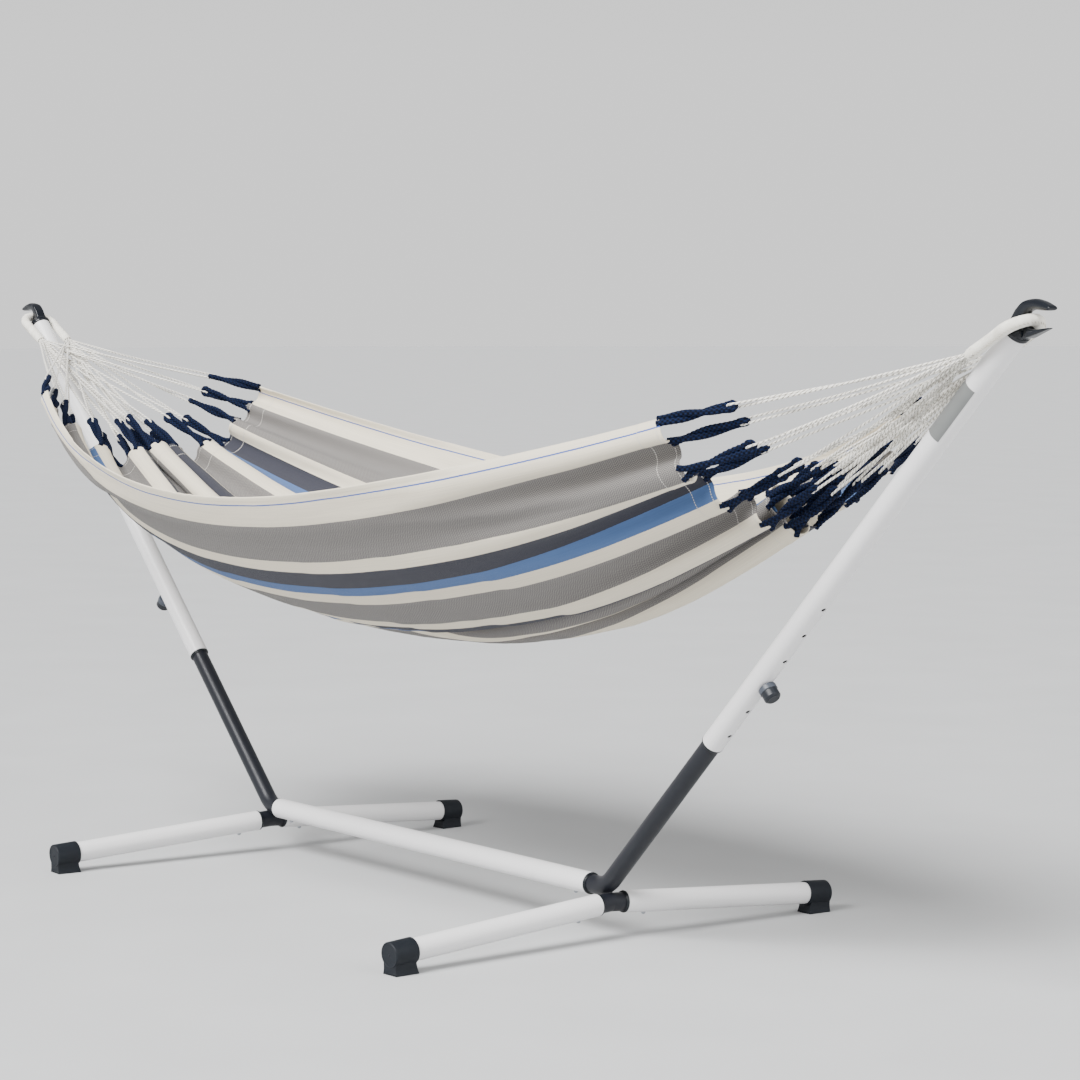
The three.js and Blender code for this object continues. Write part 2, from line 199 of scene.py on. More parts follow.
def make_studio():
    """Soft lights over a plain pale floor, in surroundings that are brightest at the horizon."""
    world = bpy.data.worlds.new("studio")
    bpy.context.scene.world = world
    world.use_nodes = True
    tree = world.node_tree
    direction = tree.nodes.new("ShaderNodeTexCoord")
    height = tree.nodes.new("ShaderNodeSeparateXYZ")
    fade = tree.nodes.new("ShaderNodeMapRange")
    tree.links.new(direction.outputs["Generated"], height.inputs[0])
    tree.links.new(height.outputs["Z"], fade.inputs["Value"])
    for key, value in (("From Min", 0.08), ("From Max", 0.45), ("To Min", 1.12), ("To Max", 0.5)):
        fade.inputs[key].default_value = value
    tree.links.new(fade.outputs[0], tree.nodes["Background"].inputs["Strength"])
    tree.nodes["Background"].inputs["Color"].default_value = (1, 1, 1, 1)
    middle = (0, 0, 0.6)
    add_light("sky", "SUN", (0.6, -3.0, 4.4), middle, 6.5).angle = math.radians(35)
    add_light("key", "AREA", (1.0, -5.4, 4.0), middle, 260).size = 2.4
    add_light("side", "AREA", (5.8, 1.0, 3.0), middle, 160).size = 2.4
    shader = Shader("floor", roughness=0.85)
    tone = shader.noise(3.0, detail=2)
    shader.colour(shader.ramp(tone, [(0.3, (184, 185, 186)), (0.7, (188, 189, 190))]))
    corners = [(FLOOR_HALF * x, FLOOR_HALF * y, -GAP) for x, y in ((-1, -1), (1, -1), (1, 1), (-1, 1))]
    make_piece("floor", corners, [(0, 1, 2, 3)], shader.material, sharp=0)


# ---------------------------------------------------------------- materials


def linear(colour):
    """An sRGB colour of 0 to 255 as linear light."""
    shares = [c / 255 for c in colour]
    return tuple(s / 12.92 if s < 0.04045 else ((s + 0.055) / 1.055) ** 2.4 for s in shares)


SOCKETS = {"metallic": "Metallic", "specular": "Specular IOR Level", "sheen": "Sheen Weight"}


class Shader:
    """A Principled material, with short ways to add nodes to it."""

    def __init__(self, name, roughness=0.5, **sockets):
        self.material = bpy.data.materials.new(name)
        self.material.use_nodes = True
        self.tree = self.material.node_tree
        self.bsdf = self.tree.nodes["Principled BSDF"]
        self.bsdf.inputs["Roughness"].default_value = roughness
        for key, value in sockets.items():
            self.bsdf.inputs[SOCKETS[key]].default_value = value
        self.coordinates = self.tree.nodes.new("ShaderNodeTexCoord")

    def plug(self, socket, value):
        if isinstance(value, bpy.types.NodeSocket):
            self.tree.links.new(value, socket)
        else:
            socket.default_value = value

    def math(self, operation, a, b=0.0):
        node = self.tree.nodes.new("ShaderNodeMath")
        node.operation = operation
        self.plug(node.inputs[0], a)
        self.plug(node.inputs[1], b)
        return node.outputs[0]

    def times(self, a, b):
        return self.math("MULTIPLY", a, b)

    def plus(self, a, b):
        return self.math("ADD", a, b)

    def uv(self):
        """Two numbers: metres along the piece, and across or round it."""
        node = self.tree.nodes.new("ShaderNodeSeparateXYZ")
        self.tree.links.new(self.coordinates.outputs["UV"], node.inputs[0])
        return node.outputs[0], node.outputs[1]

    def vector(self, x, y, z=0.0):
        node = self.tree.nodes.new("ShaderNodeCombineXYZ")
        for socket, value in zip(node.inputs, (x, y, z)):
            self.plug(socket, value)
        return node.outputs[0]

    def noise(self, scale, detail=3.0, at=None):
        node = self.tree.nodes.new("ShaderNodeTexNoise")
        node.inputs["Scale"].default_value = scale
        node.inputs["Detail"].default_value = detail
        self.tree.links.new(at or self.coordinates.outputs["Object"], node.inputs["Vector"])
        return node.outputs[0]

    def wave(self, coordinate, pitch):
        """A sine wave from -1 to 1 that repeats once each pitch."""
        return self.math("SINE", self.times(coordinate, 2 * math.pi / pitch))

    def spread(self, value, low, high):
        """value of 0 to 1 as a number from low to high."""
        return self.plus(self.times(value, high - low), low)

    def ramp(self, factor, stops, constant=False):
        node = self.tree.nodes.new("ShaderNodeValToRGB")
        ramp = node.color_ramp
        ramp.interpolation = "CONSTANT" if constant else "LINEAR"
        while len(ramp.elements) < len(stops):
            ramp.elements.new(1.0)
        for element, (place, colour) in zip(ramp.elements, stops):
            element.position = place
            element.color = (*linear(colour), 1)
        self.plug(node.inputs[0], factor)
        return node.outputs[0]

    def mix(self, factor, a, b, blend="MIX"):
        node = self.tree.nodes.new("ShaderNodeMix")
        node.data_type = "RGBA"
        node.blend_type = blend
        self.plug(node.inputs["Factor"], factor)
        for socket, value in zip((node.inputs[6], node.inputs[7]), (a, b)):
            if not isinstance(value, bpy.types.NodeSocket):
                value = (*linear(value), 1)
            self.plug(socket, value)
        return node.outputs[2]

    def colour(self, value):
        self.plug(self.bsdf.inputs["Base Color"], value)

    def roughness(self, value, low, high):
        self.plug(self.bsdf.inputs["Roughness"], self.spread(value, low, high))

    def bump(self, height, depth, strength=1.0):
        node = self.tree.nodes.new("ShaderNodeBump")
        node.inputs["Strength"].default_value = strength
        node.inputs["Distance"].default_value = depth
        self.plug(node.inputs["Height"], height)
        if self.bsdf.inputs["Normal"].is_linked:
            link = self.bsdf.inputs["Normal"].links[0]
            self.tree.links.new(link.from_socket, node.inputs["Normal"])
        self.tree.links.new(node.outputs[0], self.bsdf.inputs["Normal"])


def grained(name, colours, gloss, tone, wear, grain, relief, **sockets):
    """Two colours and a range of roughness, both mixed by noise, under a fine grain.

    tone, wear and grain are each a noise's scale and detail. relief is the grain's depth and strength.
    """
    shader = Shader(name, **sockets)
    shader.colour(shader.mix(shader.noise(*tone), *colours))
    shader.roughness(shader.noise(*wear), *gloss)
    shader.bump(shader.noise(*grain), *relief)
    return shader.material


def enamel(name, light, dark, low, high, specular=0.5):
    """Powder coat: fine orange peel, and a faint unevenness of tone and gloss."""
    relief = (0.00012, 0.35)
    return grained(name, (light, dark), (low, high), (9, 4), (60, 4), (420, 2), relief, specular=specular)


def moulded(name, light, dark, low, high, grain=900, specular=0.4):
    """Moulded plastic: a fine even grain, with scuffs that show in the gloss."""
    relief = (0.00015, 0.4)
    return grained(name, (light, dark), (low, high), (35, 5), (110, 6), (grain, 3), relief, specular=specular)


def bright_steel():
    colours, relief = ((186, 192, 198), (140, 147, 154)), (0.00003, 0.3)
    return grained("bright_steel", colours, (0.12, 0.3), (300, 4), (500, 5), (1500, 2), relief, metallic=1.0)


def weld_metal():
    colours = ((22, 25, 31), (34, 37, 45))
    return grained("weld", colours, (0.16, 0.34), (200, 4), (260, 4), (330, 3), (0.0004, 0.5))


def label_film():
    colours = ((104, 106, 105), (114, 116, 115))
    return grained("label_film", colours, (0.36, 0.5), (40, 5), (90, 5), (700, 2), (0.00008, 0.3))


def yarn(shader, relief, along, light, dark, depth):
    """Fine fibres run along a cord, with painted shade down in its relief."""
    fibres = shader.noise(1.0, detail=3, at=shader.vector(shader.times(along, 220), relief, 0.0))
    tone = shader.times(relief, shader.spread(fibres, 0.7, 1.15))
    # Painted shade: the ramp gives the grooves of the relief the dark colour and the crests the light one
    shader.colour(shader.ramp(tone, [(0.1, dark), (0.75, light)]))
    shader.bump(shader.plus(relief, shader.times(fibres, 0.4)), depth, 0.9)
    return shader.material


def laid_cord(name, light, dark, plies, pitch, depth):
    """Twisted cord: its plies wind round it."""
    shader = Shader(name, roughness=0.9, sheen=0.25)
    along, around = shader.uv()
    lay = shader.plus(shader.times(around, plies), shader.math("DIVIDE", along, pitch))
    groove = shader.math("ABSOLUTE", shader.wave(lay, 2.0))
    return yarn(shader, groove, along, light, dark, depth)


def braided_cord(name, light, dark, depth):
    """Braided cord: knobs in staggered rows, where one strand crosses over the next."""
    shader = Shader(name, roughness=0.8, specular=0.12)
    along, around = shader.uv()
    knobs = shader.times(shader.wave(around, 1 / BRAID_COUNT), shader.wave(along, BRAID_PITCH))
    return yarn(shader, shader.spread(knobs, 0.5, 1.0), along, light, dark, depth)


def sleeve_canvas():
    """The sewn sleeve of the rope loop: tight canvas, rubbed slightly grey."""
    shader = Shader("sleeve_canvas", roughness=0.92, sheen=0.2)
    along, around = shader.uv()
    girth = 2 * math.pi * ROPE_RADIUS
    threads = shader.times(shader.wave(along, 0.0014), shader.wave(around, 0.0014 / girth))
    rubbed = shader.noise(55, detail=5)
    tone = shader.plus(shader.times(threads, 0.12), rubbed)
    shader.colour(shader.ramp(tone, [(0.25, (214, 209, 196)), (0.6, (240, 237, 227))]))
    shader.bump(threads, 0.0003, 0.5)
    shader.bump(shader.noise(160, detail=4), 0.0010, 0.35)
    return shader.material


CREAM = (236, 226, 204)
GREY = (72, 70, 75)
CHARCOAL = (33, 36, 52)
SKY = (66, 100, 152)
LINE_BLUE = (52, 88, 172)
# Stripes from the rim to the middle: each one's outer edge in metres, its colour, and its share of cream weft
STRIPES = [
    (0.000, CREAM, 0.10),
    (0.015, LINE_BLUE, 0.04),
    (0.018, CREAM, 0.10),
    (0.063, GREY, 0.30),
    (0.163, CREAM, 0.10),
    (0.193, CHARCOAL, 0.04),
    (0.238, SKY, 0.04),
    (0.268, CREAM, 0.10),
    (0.308, GREY, 0.30),
    (0.408, CREAM, 0.10),
    (0.448, CHARCOAL, 0.04),
    (0.488, SKY, 0.04),
    (0.518, CREAM, 0.10),
    (0.558, GREY, 0.30),
    (0.648, CREAM, 0.10),
    (0.698, LINE_BLUE, 0.04),
]


def striped_canvas():
    """Woven stripes. The warp carries the colour, and a cream weft crosses it in small checks."""
    shader = Shader("striped_canvas", roughness=0.88, specular=0.25, sheen=0.08)
    along, across = shader.uv()
    half = CLOTH_WIDTH / 2
    fray = shader.noise(1.0, detail=1, at=shader.vector(shader.times(along, 420), across))
    edge = shader.times(shader.math("SUBTRACT", fray, 0.5), 0.0012)
    inwards = shader.math("SUBTRACT", half, shader.math("ABSOLUTE", shader.plus(across, edge)))
    share = shader.math("DIVIDE", inwards, half)
    warp = shader.ramp(share, [(s / half, colour) for s, colour, _ in STRIPES], constant=True)
    weft_stops = [(s / half, (255 * weft ** (1 / 2.2),) * 3) for s, _, weft in STRIPES]
    weft_share = shader.ramp(share, weft_stops, constant=True)

    weave_pitch, check_pitch = 0.0016, 0.0044
    fine = shader.times(shader.wave(along, weave_pitch), shader.wave(across, weave_pitch))
    ribs = shader.plus(across, shader.times(shader.wave(along, 0.012), 0.0006))
    check = shader.times(shader.wave(along, check_pitch), shader.wave(ribs, check_pitch))
    is_grey = shader.math("GREATER_THAN", weft_share, 0.2)
    pattern = shader.plus(shader.times(check, is_grey), shader.times(fine, 0.35))
    lifted = shader.plus(shader.times(pattern, 0.6), 0.62)
    weft = shader.times(weft_share, lifted)
    cloth = shader.mix(weft, warp, (235, 229, 216))

    yarn_lengths = shader.vector(shader.times(along, 6), shader.times(across, 700))
    slubs = shader.noise(1.0, detail=4, at=yarn_lengths)
    cloth = shader.mix(shader.spread(slubs, -0.1, 0.32), cloth, (120, 116, 112), "MULTIPLY")
    from_middle = shader.math("ABSOLUTE", shader.math("SUBTRACT", along, CLOTH_LENGTH / 2))
    from_end = shader.math("SUBTRACT", CLOTH_LENGTH / 2, from_middle)
    stitches = stitch_rows(shader, from_end, across)
    cloth = shader.mix(stitches, cloth, (212, 208, 200))
    shader.colour(cloth)
    weave = shader.plus(shader.times(check, is_grey), fine)
    shader.bump(weave, 0.0005, 0.45)
    shader.bump(shader.noise(38, detail=5), 0.0035, 0.22)
    shader.bump(stitches, 0.0008, 0.8)
    return shader.material


def stitch_rows(shader, from_end, across):
    """1 on the thread of the two rows of machine stitches along each hem, else 0."""
    rows = []
    for place in STITCH_ROWS:
        off = shader.math("ABSOLUTE", shader.math("SUBTRACT", from_end, place))
        rows.append(shader.math("LESS_THAN", off, 0.0007))
    dashes = shader.math("GREATER_THAN", shader.wave(across, 0.0046), -0.55)
    return shader.times(shader.math("MAXIMUM", *rows), dashes)


def tag_weave():
    shader = Shader("tag_weave", roughness=0.7, sheen=0.2)
    ribs = shader.noise(1400, detail=2)
    shader.colour(shader.mix(ribs, (20, 21, 24), (42, 43, 48)))
    shader.bump(ribs, 0.0003, 0.5)
    return shader.material


def make_materials():
    return {
        "white": enamel("white_enamel", (228, 227, 227), (221, 220, 221), 0.28, 0.42),
        # The tubes' bare inner walls, coloured near black as painted shade
        "bore": enamel("bore_bare_and_painted_shade", (24, 27, 31), (34, 37, 42), 0.45, 0.65, specular=0.2),
        "dark": enamel("dark_enamel", (22, 24, 30), (27, 29, 36), 0.34, 0.48, specular=0.3),
        "plastic": moulded("cap_plastic", (14, 18, 24), (20, 25, 32), 0.5, 0.68, specular=0.25),
        "flange": moulded("flange_plastic", (12, 17, 22), (18, 24, 29), 0.28, 0.42, grain=500, specular=0.35),
        "gloss": moulded("hook_plastic", (9, 13, 20), (13, 18, 26), 0.16, 0.26, grain=400, specular=0.4),
        "knob": moulded("knob_plastic", (20, 24, 30), (27, 31, 38), 0.32, 0.46, grain=500, specular=0.35),
        "skirt": moulded("knob_skirt", (58, 63, 72), (68, 73, 82), 0.3, 0.44, grain=500),
        "steel": bright_steel(),
        "weld": weld_metal(),
        "sleeve": sleeve_canvas(),
        # The second colour of each cord is the painted shade in its grooves
        "cream": laid_cord("cream_yarn", (243, 240, 232), (150, 144, 132), 2, 0.0095, 0.0010),
        "navy": braided_cord("navy_yarn", (15, 28, 58), (1, 2, 8), 0.0012),
        "thread": laid_cord("sewing_thread", (222, 216, 202), (160, 152, 138), 2, 0.002, 0.0003),
        "cloth": striped_canvas(),
        "tag": tag_weave(),
        "label": label_film(),
    }


# ---------------------------------------------------------------- mesh helpers


def make_piece(name, vertices, faces, material, sharp=35, uv=None):
    """A mesh object in the row frame. uv gives each vertex its metres along and its share round or across."""
    mesh = bpy.data.meshes.new(name)
    mesh.from_pydata(np.asarray(vertices, float).tolist(), [], [list(map(int, f)) for f in faces])
    if uv is not None:
        layer = mesh.uv_layers.new(name="UVMap")
        corner_vertices = np.empty(len(mesh.loops), int)
        mesh.loops.foreach_get("vertex_index", corner_vertices)
        layer.data.foreach_set("uv", np.asarray(uv, np.float32)[corner_vertices].ravel())
    mesh.shade_smooth()
    mesh.materials.append(material)
    mesh.validate()
    if sharp:
        mesh.set_sharp_from_angle(angle=math.radians(sharp))
    piece = bpy.data.objects.new(name, mesh)
    bpy.context.scene.collection.objects.link(piece)
    return piece


def settle(piece, body, slot, *nodes):
    """The piece rides on a body and stands for these CAD nodes, which it hides. The slot is not used."""
    if body:
        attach(piece, body)
    if nodes:
        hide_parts(*nodes)


def join_parts(parts):
    """Several (vertices, faces, uv) as one."""
    vertices, faces, uvs, count = [], [], [], 0
    for points, quads, uv in parts:
        vertices.append(np.asarray(points, float))
        faces += [tuple(i + count for i in quad) for quad in quads]
        uvs.append(np.asarray(uv, float))
        count += len(points)
    return np.concatenate(vertices), faces, np.concatenate(uvs)


def cord_bundle(name, parts, material):
    """Many cords as one piece."""
    vertices, faces, uv = join_parts(parts)
    return make_piece(name, vertices, faces, material, uv=uv)


def ring_faces(rings, around, closed=False):
    """Quads between rings of vertices. A closed body goes on from its last ring to its first."""
    faces = []
    for i in range(rings if closed else rings - 1):
        for j in range(around):
            a, b = i * around + j, i * around + (j + 1) % around
            c, d = ((i + 1) % rings) * around + (j + 1) % around, ((i + 1) % rings) * around + j
            faces.append((a, b, c, d))
    return faces


def rod_faces(rings, around):
    """Quads between rings of vertices, and a face at each end."""
    last = (rings - 1) * around
    return ring_faces(rings, around) + [tuple(range(around))[::-1], tuple(range(last, last + around))]


def rounded(profile, radius, steps=4):
    """The profile with each inner corner turned into a small curve."""
    points = [np.array(p, float) for p in profile]
    made = [points[0]]
    for before, corner, after in zip(points, points[1:], points[2:]):
        back, ahead = before - corner, after - corner
        reach = min(radius, 0.45 * np.linalg.norm(back), 0.45 * np.linalg.norm(ahead))
        start = corner + back / np.linalg.norm(back) * reach
        end = corner + ahead / np.linalg.norm(ahead) * reach
        for t in np.linspace(0, 1, steps + 1):
            made.append((1 - t) ** 2 * start + 2 * t * (1 - t) * corner + t**2 * end)
    return [*made, points[-1]]


def turned(profile, segments=64, closed=False):
    """A body of revolution about X: the profile lists (along, radius). Returns vertices and faces."""
    rings = np.array(profile, float)
    angle = np.linspace(0, 2 * np.pi, segments, endpoint=False)
    x = np.repeat(rings[:, :1], segments, 1)
    vertices = np.stack([x, rings[:, 1:] * np.cos(angle), rings[:, 1:] * np.sin(angle)], -1).reshape(-1, 3)
    return vertices, ring_faces(len(rings), segments, closed)


def placed(vertices, matrix):
    """The vertices, moved and turned by the matrix."""
    turn = np.array(matrix)
    return np.asarray(vertices) @ turn[:3, :3].T + turn[:3, 3]


def cleaned(piece):
    """Corners that meet in one point, as at the tip of a turned piece, become one."""
    bm = bmesh.new()
    bm.from_mesh(piece.data)
    bmesh.ops.remove_doubles(bm, verts=bm.verts, dist=1e-6)
    bmesh.ops.recalc_face_normals(bm, faces=bm.faces)
    bm.to_mesh(piece.data)
    bm.free()
    piece.data.set_sharp_from_angle(angle=math.radians(35))
    return piece


def turned_piece(name, profile, matrix, material, segments=64, closed=False):
    vertices, faces = turned(profile, segments, closed)
    return cleaned(make_piece(name, placed(vertices, matrix), faces, material))


def cut_out(piece, cutters):
    """Takes these out of the piece."""
    for cutter in cutters:
        modifier = piece.modifiers.new("hole", "BOOLEAN")
        modifier.operation = "DIFFERENCE"
        modifier.solver = "EXACT"
        modifier.object = cutter
    graph = bpy.context.evaluated_depsgraph_get()
    drilled = bpy.data.meshes.new_from_object(piece.evaluated_get(graph))
    piece.modifiers.clear()
    piece.data = drilled
    piece.data.set_sharp_from_angle(angle=math.radians(35))
    for cutter in cutters:
        bpy.data.objects.remove(cutter)


def drill(at, matrix):
    """A cutter across one wall of a tube, on the side that local -Z points to."""
    start, end = INNER_RADIUS / 2, TUBE_RADIUS + 0.005
    profile = [(start, 0), (start, HOLE_RADIUS), (end, HOLE_RADIUS), (end, 0)]
    place = matrix @ Matrix.Translation((at, 0, 0)) @ Matrix.Rotation(math.pi / 2, 4, "Y")
    return turned_piece("cutter", profile, place, None, segments=24)


def distances(path):
    """The distance of each point from the first one, along the path."""
    return np.concatenate([[0], np.cumsum(np.linalg.norm(np.diff(path, axis=0), axis=1))])


def point_at(place, along, path):
    """The point of the path at this distance from its start."""
    return np.array([np.interp(place, along, path[:, k]) for k in range(3)])


def swept(path, radius, sides=12, relief=0.0):
    """A cord along a path, with a braid's relief if that's asked for. Returns vertices, faces and uv."""
    path = np.asarray(path, float)
    along = distances(path)
    tangent = np.gradient(path, axis=0)
    tangent /= np.linalg.norm(tangent, axis=1)[:, None]
    side = np.cross(tangent[0], (0, 0, 1) if abs(tangent[0][2]) < 0.9 else (0, 1, 0))
    sideways = []
    for direction in tangent:
        side = side - direction * (side @ direction)
        side /= np.linalg.norm(side)
        sideways.append(side)
    sideways = np.array(sideways)
    upwards = np.cross(tangent, sideways)
    angle = np.linspace(0, 2 * np.pi, sides, endpoint=False)
    radii = np.broadcast_to(np.asarray(radius, float).reshape(-1, 1), (len(path), sides))
    braid = np.sin(BRAID_COUNT * angle) * np.sin(2 * np.pi * along[:, None] / BRAID_PITCH)
    radii = radii * (1 + relief * braid)
    ring = sideways[:, None] * np.cos(angle)[None, :, None] + upwards[:, None] * np.sin(angle)[None, :, None]
    vertices = (path[:, None] + ring * radii[..., None]).reshape(-1, 3)
    uv = np.stack(np.broadcast_arrays(along[:, None], angle[None, :] / (2 * np.pi)), -1).reshape(-1, 2)
    return vertices, rod_faces(len(path), sides), uv


def spline(p0, p1, p2, p3, t):
    """The point at t, 0 to 1, of the smooth curve that leads from p1 to p2."""
    square = 2 * p0 - 5 * p1 + 4 * p2 - p3
    cube = 3 * p1 - p0 - 3 * p2 + p3
    return 0.5 * (2 * p1 + (p2 - p0) * t + square * t**2 + cube * t**3)


def resampled(rows, stations):
    """Points, or rows of points, at fractional places in their list, on smooth curves through them."""
    padded = np.concatenate([[2 * rows[0] - rows[1]], rows, [2 * rows[-1] - rows[-2]]])
    first = np.clip(np.floor(stations).astype(int), 0, len(rows) - 2)
    t = (stations - first).reshape(-1, *[1] * (rows.ndim - 1))
    return spline(*[padded[first + k] for k in range(4)], t)


def curve_through(points, step):
    """Evenly spaced points on a smooth curve through these."""
    spans = len(points) - 1
    fine = resampled(np.asarray(points, float), np.linspace(0, spans, 12 * spans + 1))
    along = distances(fine)
    stations = np.linspace(0, along[-1], max(2, round(along[-1] / step) + 1))
    return point_at(stations, along, fine).T


def finish_cad_node(node, material):
    """A CAD node that stays in the model takes a better material."""
    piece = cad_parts[node]
    piece.data.materials.clear()
    piece.data.materials.append(material)


# ---------------------------------------------------------------- stand


def end_turn(end):
    """The left end is the right end turned half round."""
    return Matrix.Rotation(0 if end == "right" else math.pi, 4, "Z")


def arm_frame(end):
    """X runs up the arm from the corner of the bend, and Z points away from the floor."""
    corner = Matrix.Translation((HUB_X - ELBOW_INSET, 0, BEAM_HEIGHT))
    return end_turn(end) @ corner @ Matrix.Rotation(-ARM_ANGLE, 4, "Y")


def foot_frame(end, side):
    """X runs down the foot from the middle of the cross tube."""
    hub = Matrix.Translation((HUB_X, 0, HUB_HEIGHT))
    splay = Matrix.Rotation(side * (math.pi / 2 - FOOT_SPLAY), 4, "Z")
    return end_turn(end) @ hub @ splay @ Matrix.Rotation(FOOT_SLOPE, 4, "Y")


def foot_name(end, side):
    towards = side if end == "right" else -side
    return f"{end}_{'back' if towards > 0 else 'front'}"


def white_tube(name, start, end, matrix, holes, materials):
    """A white tube with slightly broken edges, drilled on its lower side, bare inside and coloured near black
    there as painted shade.
    """
    inside = TUBE_RADIUS - TUBE_WALL
    broken = 0.0005
    profile = [
        (start, inside),
        (start, TUBE_RADIUS - broken),
        (start + broken, TUBE_RADIUS),
        (end - broken, TUBE_RADIUS),
        (end, TUBE_RADIUS - broken),
        (end, inside),
    ]
    tube = turned_piece(name, profile, matrix, materials["white"], segments=96, closed=True)
    cut_out(tube, [drill(at, matrix) for at in holes])
    # The inner wall takes the near-black bore colour: bare steel, with painted shade inside the tube
    tube.data.materials.append(materials["bore"])
    back = matrix.inverted()
    for face in tube.data.polygons:
        face.material_index = int((back @ face.center).yz.length < inside + broken)
    return tube


def bushing(name, matrix, material):
    """A flange with a rolled lip, and a sleeve that reaches back into the white tube."""
    bore = INNER_RADIUS + GAP
    sleeve = TUBE_RADIUS - TUBE_WALL - GAP
    lip = TUBE_RADIUS + 0.0002
    reach = FLANGE + GAP + SLEEVE
    profile = [
        (reach, bore),
        (0.0008, bore),
        (0, bore + 0.0008),
        (0, TUBE_RADIUS - 0.0018),
        (0.0008, TUBE_RADIUS - 0.0010),
        (0.0022, TUBE_RADIUS - 0.0010),
        (0.0030, lip),
        (FLANGE, lip),
        (FLANGE, sleeve),
        (reach, sleeve),
    ]
    return turned_piece(name, rounded(profile, 0.0006, steps=3), matrix, material, closed=True)


def bend_path():
    """Centre line of the bent tube, in the end's upright plane: the points of its bend, and its upper end."""
    corner = np.array([HUB_X - ELBOW_INSET, 0, BEAM_HEIGHT])
    arm = np.array([math.cos(ARM_ANGLE), 0, math.sin(ARM_ANGLE)])
    turns = np.linspace(0, ARM_ANGLE, 25)
    bend = np.stack([np.sin(turns), 0 * turns, 1 - np.cos(turns)], 1) * BEND_RADIUS
    return corner - (BEND_TANGENT, 0, 0) + bend, corner + INNER_ARM_TOP * arm


def make_lower_arm(end, material):
    """The bent tube: rings of its outer wall one way, and of its inner wall back again."""
    bend, top = bend_path()
    path = np.array([(HUB_X - BEAM_END[end] - STUB_LENGTH, 0, BEAM_HEIGHT), *bend, top])
    sides = 64
    outer = swept(path, INNER_RADIUS, sides)[0].reshape(len(path), sides, 3)
    inner = path[:, None] + (outer - path[:, None]) * (1 - INNER_WALL / INNER_RADIUS)
    vertices = placed(np.concatenate([outer, inner[::-1]]).reshape(-1, 3), end_turn(end))
    faces = ring_faces(2 * len(path), sides, closed=True)
    piece = cleaned(make_piece(f"lower_arm_tube_{end}", vertices, faces, material))
    settle(piece, "stand", "dark_enamel", f"lower_arm_{end}")


def cross_line(y):
    """Centre line of the cross tube at y: both halves drop and lean outwards."""
    return np.array([HUB_X + abs(y) * math.tan(FOOT_SPLAY), y, HUB_HEIGHT - abs(y) * math.tan(FOOT_SLOPE)])


def make_cross_tube(end, material):
    reach = CROSS_REACH * math.cos(FOOT_SLOPE)
    path = [cross_line(y) for y in (-reach, -0.004, -0.002, 0, 0.002, 0.004, reach)]
    vertices, faces, _ = swept(path, INNER_RADIUS, sides=64)
    piece = make_piece(f"cross_stub_{end}", placed(vertices, end_turn(end)), faces, material)
    settle(piece, "stand", "dark_enamel", f"cross_tube_{end}")


def make_weld(end, material):
    """A rippled bead where the bent tube is welded on the cross tube."""
    bend, top = bend_path()
    stub = np.array([HUB_X - BEAM_END[end], 0, BEAM_HEIGHT])
    line = np.concatenate([np.linspace(stub, bend[0], 20), bend, np.linspace(bend[-1], top, 60)[:20]])
    seam = []
    for turn in np.linspace(0, 2 * np.pi, 120, endpoint=False):
        low, high = 0.0, 1.4
        for _ in range(30):
            middle = (low + high) / 2
            y = middle * math.cos(turn) * INNER_RADIUS
            tilt = middle * math.sin(turn)
            point = cross_line(y) + INNER_RADIUS * np.array([math.sin(tilt), 0, math.cos(tilt)])
            if np.linalg.norm(line - point, axis=1).min() < INNER_RADIUS:
                low = middle
            else:
                high = middle
        seam.append(point)
    seam = curve_through([*seam, seam[0]], 0.0006)
    place = np.arange(len(seam))
    radius = 0.0021 + 0.0005 * np.abs(np.sin(place * 0.62)) + 0.0002 * np.sin(place * 0.17)
    vertices, faces, _ = swept(seam, radius, sides=14)
    piece = make_piece(f"weld_bead_{end}", placed(vertices, end_turn(end)), faces, material, sharp=80)
    settle(piece, "stand", "dark_enamel")


def make_foot_cap(name, matrix, material):
    """A cup over the end of the foot tube with a slight dimple in its face, and the pad under it."""
    end = FOOT_END + GAP + CAP_WALL
    start = end - CAP_LENGTH
    bore = TUBE_RADIUS + GAP
    profile = [
        (FOOT_END + GAP, 0.0002),
        (FOOT_END + GAP, bore),
        (start, bore),
        (start, CAP_RADIUS - 0.0008),
        (start + 0.0012, CAP_RADIUS),
        (end - 0.0022, CAP_RADIUS),
        (end - 0.0006, CAP_RADIUS - 0.0012),
        (end - 0.0002, CAP_RADIUS - 0.0024),
        (end - 0.0012, CAP_RADIUS - 0.0034),
        (end - 0.0010, 0.0050),
        (end - 0.0012, 0.0022),
        (end - 0.0004, 0.0016),
        (end - 0.0002, 0.0002),
    ]
    shell = turned_piece(f"{name}_shell", rounded(profile, 0.0005, steps=3), matrix, material)
    corners, faces = foot_pad(start, end)
    pad = make_piece(f"{name}_pad", placed(corners, matrix), faces, material, sharp=40)
    return cleaned(merged(name, [shell, pad]))


